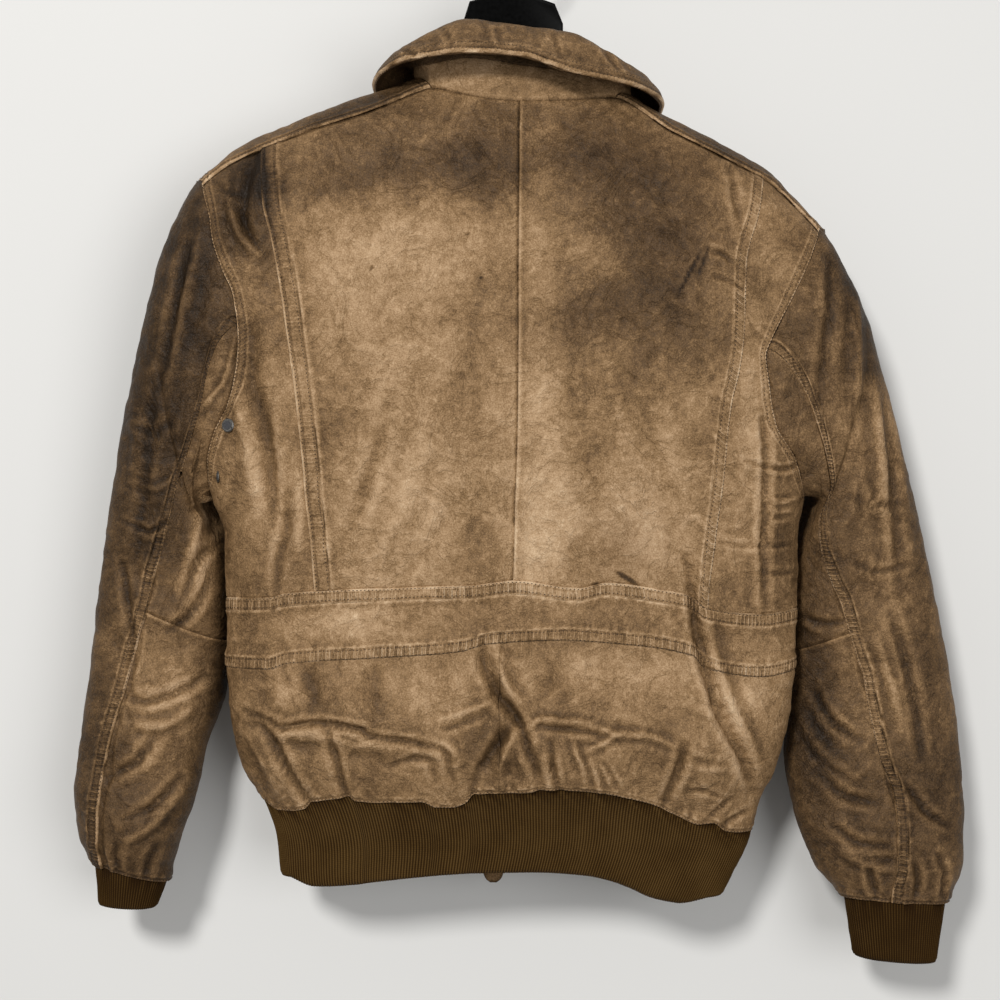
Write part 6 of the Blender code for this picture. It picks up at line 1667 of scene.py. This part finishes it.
def band_grid(rows=22):
    _, length = evenly(hem_top(), 10)
    count = RIB_COLUMNS * int(length / RIB_PITCH)
    top, _ = evenly(hem_top(), count)
    is_back = top[:, 1] < 0.0
    angle = turn(top[:, 0], top[:, 2])
    foot_z = np.where(is_back, smooth(RIB_FOOT_BACK, top[:, 0]), smooth(RIB_FOOT_FRONT, top[:, 0]))
    tucked = top + np.array([0.0, 0.0, TUCKED_UP])
    grid = []
    for down in np.linspace(0.0, 1.0, rows + 1):
        z = lerp(tucked[:, 2], foot_z, down)
        x = at_turn(angle, z)
        depth = np.where(is_back, -smooth(TORSO, z, 3), smooth(TORSO, z, 4))
        y = depth * side_fill(x, z)
        x[0], x[-1] = -ZIP_HALF, ZIP_HALF
        under = 2.2 * (1.0 - ramp(down * rows / 4.0))
        grid.append(np.stack([x, y * (1.0 - under / 60.0), z], axis=-1))
    return np.stack(grid), length


hem_grid, hem_length = band_grid()
knit_piece("hem_rib", hem_grid, np.array([0.0, 0.0, -800.0]))
print("hem band:", hem_grid.shape[:2], "grid,", round(hem_length), "mm round")

# %% Cuffs
CUFF_INSIDE = 0.96      # size of a cuff's hidden top beside the sleeve's end
CUFF_DARK = 0.35        # how much darker the cuffs are than the hem's band


def cuff_grid(side, rows=16):
    table = LEFT_SLEEVE if side == "left" else RIGHT_SLEEVE
    marks = np.concatenate([np.linspace(0.0, 1.0, 40), np.linspace(1.0, 3.0, 80)[1:]])
    top = sleeve_sheet(side, marks, np.array([1.0]))[0]
    _, length = evenly(top, 10)
    count = RIB_COLUMNS * int(length / RIB_PITCH)
    top, _ = evenly(top, count)
    last = table[-1]
    middle = np.array([(last[1] + last[3]) / 2.0, last[5], (last[2] + last[4]) / 2.0])
    ox, oz, ix, iz, forward, deep_back, deep_front, lean = CUFF_FOOT[side]
    out = np.array([last[1] - last[3], 0.0, last[2] - last[4]]) / 2.0
    place = np.clip((top - middle) @ out / (out @ out), -1.0, 1.0)
    angle = np.degrees(np.arccos(np.sign(place) * np.abs(place) ** (SLEEVE_POWER / 2.0)))
    angle = np.where(top[:, 1] > middle[1], -angle, angle)
    foot = tube_points(angle, (ox, oz), (ix, iz), forward, deep_back, deep_front, lean)
    inside = middle + (top - middle) * CUFF_INSIDE + np.array([0.0, 0.0, TUCKED_UP])
    return np.stack([lerp(inside, foot, part) for part in np.linspace(0.0, 1.0, rows + 1)]), length


for side in ("left", "right"):
    grid, length = cuff_grid(side)
    cuff_middle = grid.mean(axis=1, keepdims=True)
    knit_piece("cuff_" + side, grid, cuff_middle, ring=True, dark=CUFF_DARK)
    print("cuff", side, grid.shape[:2], "grid,", round(length), "mm round")

# %% [markdown]
# ## The collar
#
# The collar has a light stand on the neck seam and a leaf that folds over it. The leaf's edge is coloured
# pale, partly as worn leather and partly as a painted highlight on its fold, with two rows of stitching
# beside it. Under the leaf the leather is a darker brown.

# %% Collar
COLLAR_LAYER = 1.6      # wall of each of the leaf's two layers
LEAF_GAP = 0.15         # from the leaf's middle line to either layer
NECK_ROUND = 560.0      # length of the neck's edge, for the spacing of the grid
LEAF_LONG = 62.0        # length of the leaf from the stand to its edge, for the same


def neck_points(places):
    """Points of the neck's edge at places round it, from the zip on the left to the zip on the right."""
    points = np.zeros((len(places), 3))
    left = places < 0.4
    right = places > 0.6
    behind = ~(left | right)
    points[left] = front("left", np.ones((1, left.sum())), 4.0 + places[left][None] / 0.4)[0]
    points[right] = front("right", np.ones((1, right.sum())), 4.0 + (1.0 - places[right][None]) / 0.4)[0]
    u = lerp(LEFT_NECK, RIGHT_NECK, (places[behind] - 0.4) / 0.2)
    points[behind] = back_sheet(u[None], np.full((1, behind.sum()), 4.0))[0]
    return points


def collar_sections(places):
    """The stand's top, the roll and the leaf's edge at places round the neck."""
    columns = [smooth(COLLAR, places, column) for column in range(1, 10)]
    return [np.stack(columns[first:first + 3], axis=-1) for first in (0, 3, 6)]


def collar_path(places, parts):
    """The middle line of the leaf, from the stand's top over the roll to the edge."""
    top, roll, edge = collar_sections(places)
    rows = []
    rise = np.linalg.norm(roll - top, axis=-1, keepdims=True)
    fall = np.linalg.norm(edge - roll, axis=-1, keepdims=True)
    roll_at = np.clip(rise / (rise + fall), *ROLL_LIMITS)
    for t in parts:
        to_top = (t - roll_at) * (t - 1.0) / roll_at
        to_roll = t * (t - 1.0) / (roll_at * (roll_at - 1.0))
        to_edge = t * (t - roll_at) / (1.0 - roll_at)
        rows.append(to_top * top + to_roll * roll + to_edge * edge)
    return np.stack(rows)


COLLAR_TONES = ((-50.0, -150.0, 60.0, 14.0, 0.0, 0.05), (20.0, -160.0, 60.0, 10.0, 0.0, -0.10))
LEAF_TONES = ((0.0, -120.0, 160.0, 60.0, 0.0, 0.04),)
NO_SOOT = ((0.0, 0.0, 1.0, 1.0, 0.0, 0.0),)
COLLAR_CREASES = (
    (-0.9, 2.6, -96, -128, -84, -136, -74, -146), (-0.9, 2.6, -60, -112, -54, -124, -50, -136),
    (-0.8, 2.4, 30, -118, 34, -130, 36, -142), (-0.9, 2.6, 70, -126, 78, -140, 86, -152),
    (0.8, 3, -20, -112, -18, -124, -14, -136),
)
round_neck = graded(NECK_ROUND, 1.7)
foot_line = neck_points(round_neck)
stand_top = collar_sections(round_neck)[0]
collar_middle = np.stack([lerp(foot_line, stand_top, 0.5)]).mean(axis=1, keepdims=True)
stand_grid = np.stack([lerp(foot_line, stand_top, part) for part in np.linspace(-0.08, 1.0, 21)])
stand = panel("collar_stand_leather", stand_grid, collar_middle, ("plain", None, "plain", "plain"),
              ((COLLAR_CREASES, 0.5),), (COLLAR_TONES, NO_SOOT), leather_light)
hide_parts("collar_stand")
path = collar_path(round_neck, graded(LEAF_LONG, 1.2))
out = unit(np.cross(np.gradient(path, axis=0), np.gradient(path, axis=1)))
reach = LEAF_GAP + COLLAR_LAYER
outside = panel("collar_outer_leather", path + reach * out, path, (None, "leaf", "leaf", "leaf"),
                ((COLLAR_CREASES, 1.0),), (LEAF_TONES, NO_SOOT), leather_right,
                wall=COLLAR_LAYER)
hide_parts("under_collar")
inside = panel("collar_inner_leather", path - reach * out, path, (None, None, None, None), (),
               (NO_SOOT, NO_SOOT), leather_dark, wall=COLLAR_LAYER)
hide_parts("collar_leaf")
print("collar grids:", stand_grid.shape[:2], path.shape[:2])

# %% [markdown]
# ## Zip and wind flap
#
# The zip runs up the middle of the front. Behind it lies a leather flap against the wind, whose rounded end
# hangs a little below the knitted band. The flap, the tape and the teeth all follow the same line.

# %% Zip's line, flap and tape
ZIP_TOP = -197.0        # height at which the zip's tape ends, at the neck
ZIP_HEAD = -212.0       # height of the slider's middle
TAPE_DEPTH = 3.4        # from the leather's face in to the tape's
TAPE_HALF = 14.0        # half the tape's width
TAPE_WALL = 0.8
FLAP_DEPTH = 4.9        # from the leather's face in to the flap's
FLAP_WALL = 1.8
FLAP_MIDDLE = -18.0     # across, of the flap's middle
# Height and half width of the flap's end.
FLAP_END = ((-831.0, 2.6), (-828.5, 6.2), (-824.0, 8.4), (-816.0, 10.5), (-790.0, 24.0))
BEHIND_ZIP = np.array([0.0, -400.0, -500.0])


def zip_line():
    """Forward and up of the front's face beside the zip, from the band's foot to the neck."""
    v = np.linspace(0.0, 3.98, 160)[:, None]
    edge = front("left", np.ones_like(v), v)[:, 0]
    band = hem_grid[::-1, 0]
    band = band[band[:, 2] < edge[0, 2] - 1.0]
    return np.concatenate([band, edge])[:, 1:]


def strip_grid(heights, middle, halves, depth, columns):
    """A strip behind the zip's line: its half width at each height and its depth."""
    grid = np.zeros((len(heights), columns, 3))
    grid[..., 0] = middle + np.outer(halves, np.linspace(-1.0, 1.0, columns))
    grid[..., 1] = (np.interp(heights, line[:, 1], line[:, 0]) - depth)[:, None]
    grid[..., 2] = heights[:, None]
    return grid


line = zip_line()
heights = np.concatenate([np.linspace(-831.0, -790.0, 40)[:-1], np.linspace(-790.0, ZIP_TOP - 1.0, 160)])
grid = strip_grid(heights, FLAP_MIDDLE, smooth(FLAP_END, heights), FLAP_DEPTH, 23)
flap = panel("wind_flap_leather", grid, BEHIND_ZIP, ("plain", "plain", "plain", "plain"), (),
             (NO_SOOT, NO_SOOT), leather, wall=FLAP_WALL)
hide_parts("wind_flap")
heights = np.linspace(line[0, 1], ZIP_TOP, 201)
grid = strip_grid(heights, 0.0, np.full(201, TAPE_HALF), TAPE_DEPTH, 15)
zip_tape = panel("zip_tape_cloth", grid, BEHIND_ZIP, (None, None, None, None), (), (NO_SOOT, NO_SOOT), tape,
                 wall=TAPE_WALL)
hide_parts("zip_tapes")
print("zip from", round(line[0, 1]), "to", round(ZIP_TOP))

# %% Teeth
# One tooth is modelled, and its copies are laid along the zip's line, left and right in turn.
TOOTH_PITCH = 2.6       # from one tooth to the next on the same side
TOOTH = (3.3, 3.0, 1.5)         # across, forward, up
TOOTH_ACROSS = 1.25     # from the zip's middle to a tooth's middle
TOOTH_DEPTH = 1.2       # from the leather's face in to a tooth's middle


def model_tooth():
    """One tooth with rounded edges: its corners in millimetres and its faces."""
    bpy.ops.object.select_all(action="DESELECT")
    bpy.ops.mesh.primitive_cube_add(size=1.0)
    block = bpy.context.object
    block.scale = TOOTH
    bpy.ops.object.transform_apply(location=False, rotation=False, scale=True)
    bpy.ops.object.mode_set(mode="EDIT")
    bpy.ops.mesh.select_all(action="SELECT")
    bpy.ops.mesh.bevel(offset=0.35, segments=1)
    bpy.ops.object.mode_set(mode="OBJECT")
    points = np.array([tuple(point.co) for point in block.data.vertices])
    faces = [tuple(face.vertices) for face in block.data.polygons]
    bpy.data.objects.remove(block, do_unlink=True)
    return points, faces


tooth, tooth_faces = model_tooth()
teeth_points = []
teeth_faces = []
for number, z in enumerate(np.arange(line[0, 1] + 2.0, ZIP_HEAD - 4.0, TOOTH_PITCH / 2.0)):
    side = 1.0 if number % 2 else -1.0
    y = float(np.interp(z, line[:, 1], line[:, 0])) - TOOTH_DEPTH
    first = len(teeth_points) * len(tooth)
    teeth_points.append(tooth + np.array([TOOTH_ACROSS * side, y, z]))
    teeth_faces.extend(tuple(first + corner for corner in face) for face in tooth_faces)
teeth_mesh = bpy.data.meshes.new("zip_teeth_rows")
teeth_mesh.from_pydata(np.concatenate(teeth_points) * MM, [], teeth_faces)
teeth_mesh.materials.append(brass)
teeth = bpy.data.objects.new("zip_teeth_rows", teeth_mesh)
bpy.context.scene.collection.objects.link(teeth)
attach(teeth, ROOT)
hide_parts("zip_teeth")
print("teeth:", len(teeth_points))

# %% [markdown]
# ## Hard pieces
#
# The hanger, the slider and the pull keep the solid model's exact form. Each is copied, its corners are
# joined and its edges are rounded, because a perfectly sharp edge never catches the light. The vents keep
# their solid and get a disc of dark mesh.

# %% Hanger, slider and pull
def finished_copy(node, name, rounding, surface, body):
    """A copy of a solid with its corners joined, its edges rounded and its own finish."""
    copy = bpy.data.objects.new(name, bpy.data.objects[node].data.copy())
    bpy.context.scene.collection.objects.link(copy)
    bpy.ops.object.select_all(action="DESELECT")
    copy.select_set(True)
    bpy.context.view_layer.objects.active = copy
    bpy.ops.object.mode_set(mode="EDIT")
    bpy.ops.mesh.select_all(action="SELECT")
    bpy.ops.mesh.remove_doubles(threshold=0.00001)
    bpy.ops.mesh.dissolve_limited(angle_limit=math.radians(1.0))
    bpy.ops.object.mode_set(mode="OBJECT")
    copy.data.materials.clear()
    copy.data.materials.append(surface)
    copy.data.shade_smooth()
    if rounding > 0.0:
        bevel = copy.modifiers.new("rounded edges", "BEVEL")
        bevel.width = rounding
        bevel.segments = 2
        bevel.limit_method = "ANGLE"
        bevel.angle_limit = math.radians(30.0)
        bevel.harden_normals = True
    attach(copy, body)
    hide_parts(node)
    return copy


hanger = finished_copy("hanger_body", "hanger_arms_and_plate", 0.0007, plastic, ROOT)
hook = finished_copy("hanger_hook", "hanger_wire_hook", 0.0, steel, ROOT)
slider = finished_copy("zip_slider", "slider_brass", 0.0003, brass, ROOT)
pull = finished_copy("zip_pull", "pull_brass", 0.0003, brass, PULL)
print("hard pieces:", hanger.name, hook.name, slider.name, pull.name)

# %% Vents under the arms
VENTS = ("eyelet_left_upper", "eyelet_left_lower", "eyelet_right_upper", "eyelet_right_lower")
MESH_RADIUS = 0.0036    # these two in metres
MESH_THICK = 0.0008


def vent_mesh(node):
    """A disc of dark mesh on a vent's ring, turned to face as the ring does."""
    points = np.array([tuple(point.co) for point in node.data.vertices])
    middle = points.mean(axis=0)
    axis = np.linalg.svd(points - middle)[2][2]
    if axis @ (middle - np.array([0.0, 0.0, middle[2]])) < 0.0:
        axis = -axis
    top = ((points - middle) @ axis).max()
    turned = Vector(axis).to_track_quat("Z", "Y").to_euler()
    bpy.ops.mesh.primitive_cylinder_add(vertices=24, radius=MESH_RADIUS, depth=MESH_THICK, rotation=turned,
                                        location=middle + top * axis)
    return bpy.context.object


discs = []
for name in VENTS:
    node = bpy.data.objects[name]
    node.data.materials.clear()
    node.data.materials.append(old_steel)
    bpy.ops.object.select_all(action="DESELECT")
    discs.append(vent_mesh(node))
for disc in discs:
    disc.select_set(True)
bpy.context.view_layer.objects.active = discs[0]
bpy.ops.object.join()
bpy.ops.object.transform_apply(location=True, rotation=True, scale=True)
vents = bpy.context.object
vents.name = "vent_mesh_discs"
vents.data.materials.clear()
vents.data.materials.append(mesh_dark)
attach(vents, ROOT)
print("vents:", len(VENTS))

# %% Stitching
add_stitches("stitching", stitch_rows, thread)
print("stitches:", sum(len(row[0]) for row in stitch_rows))
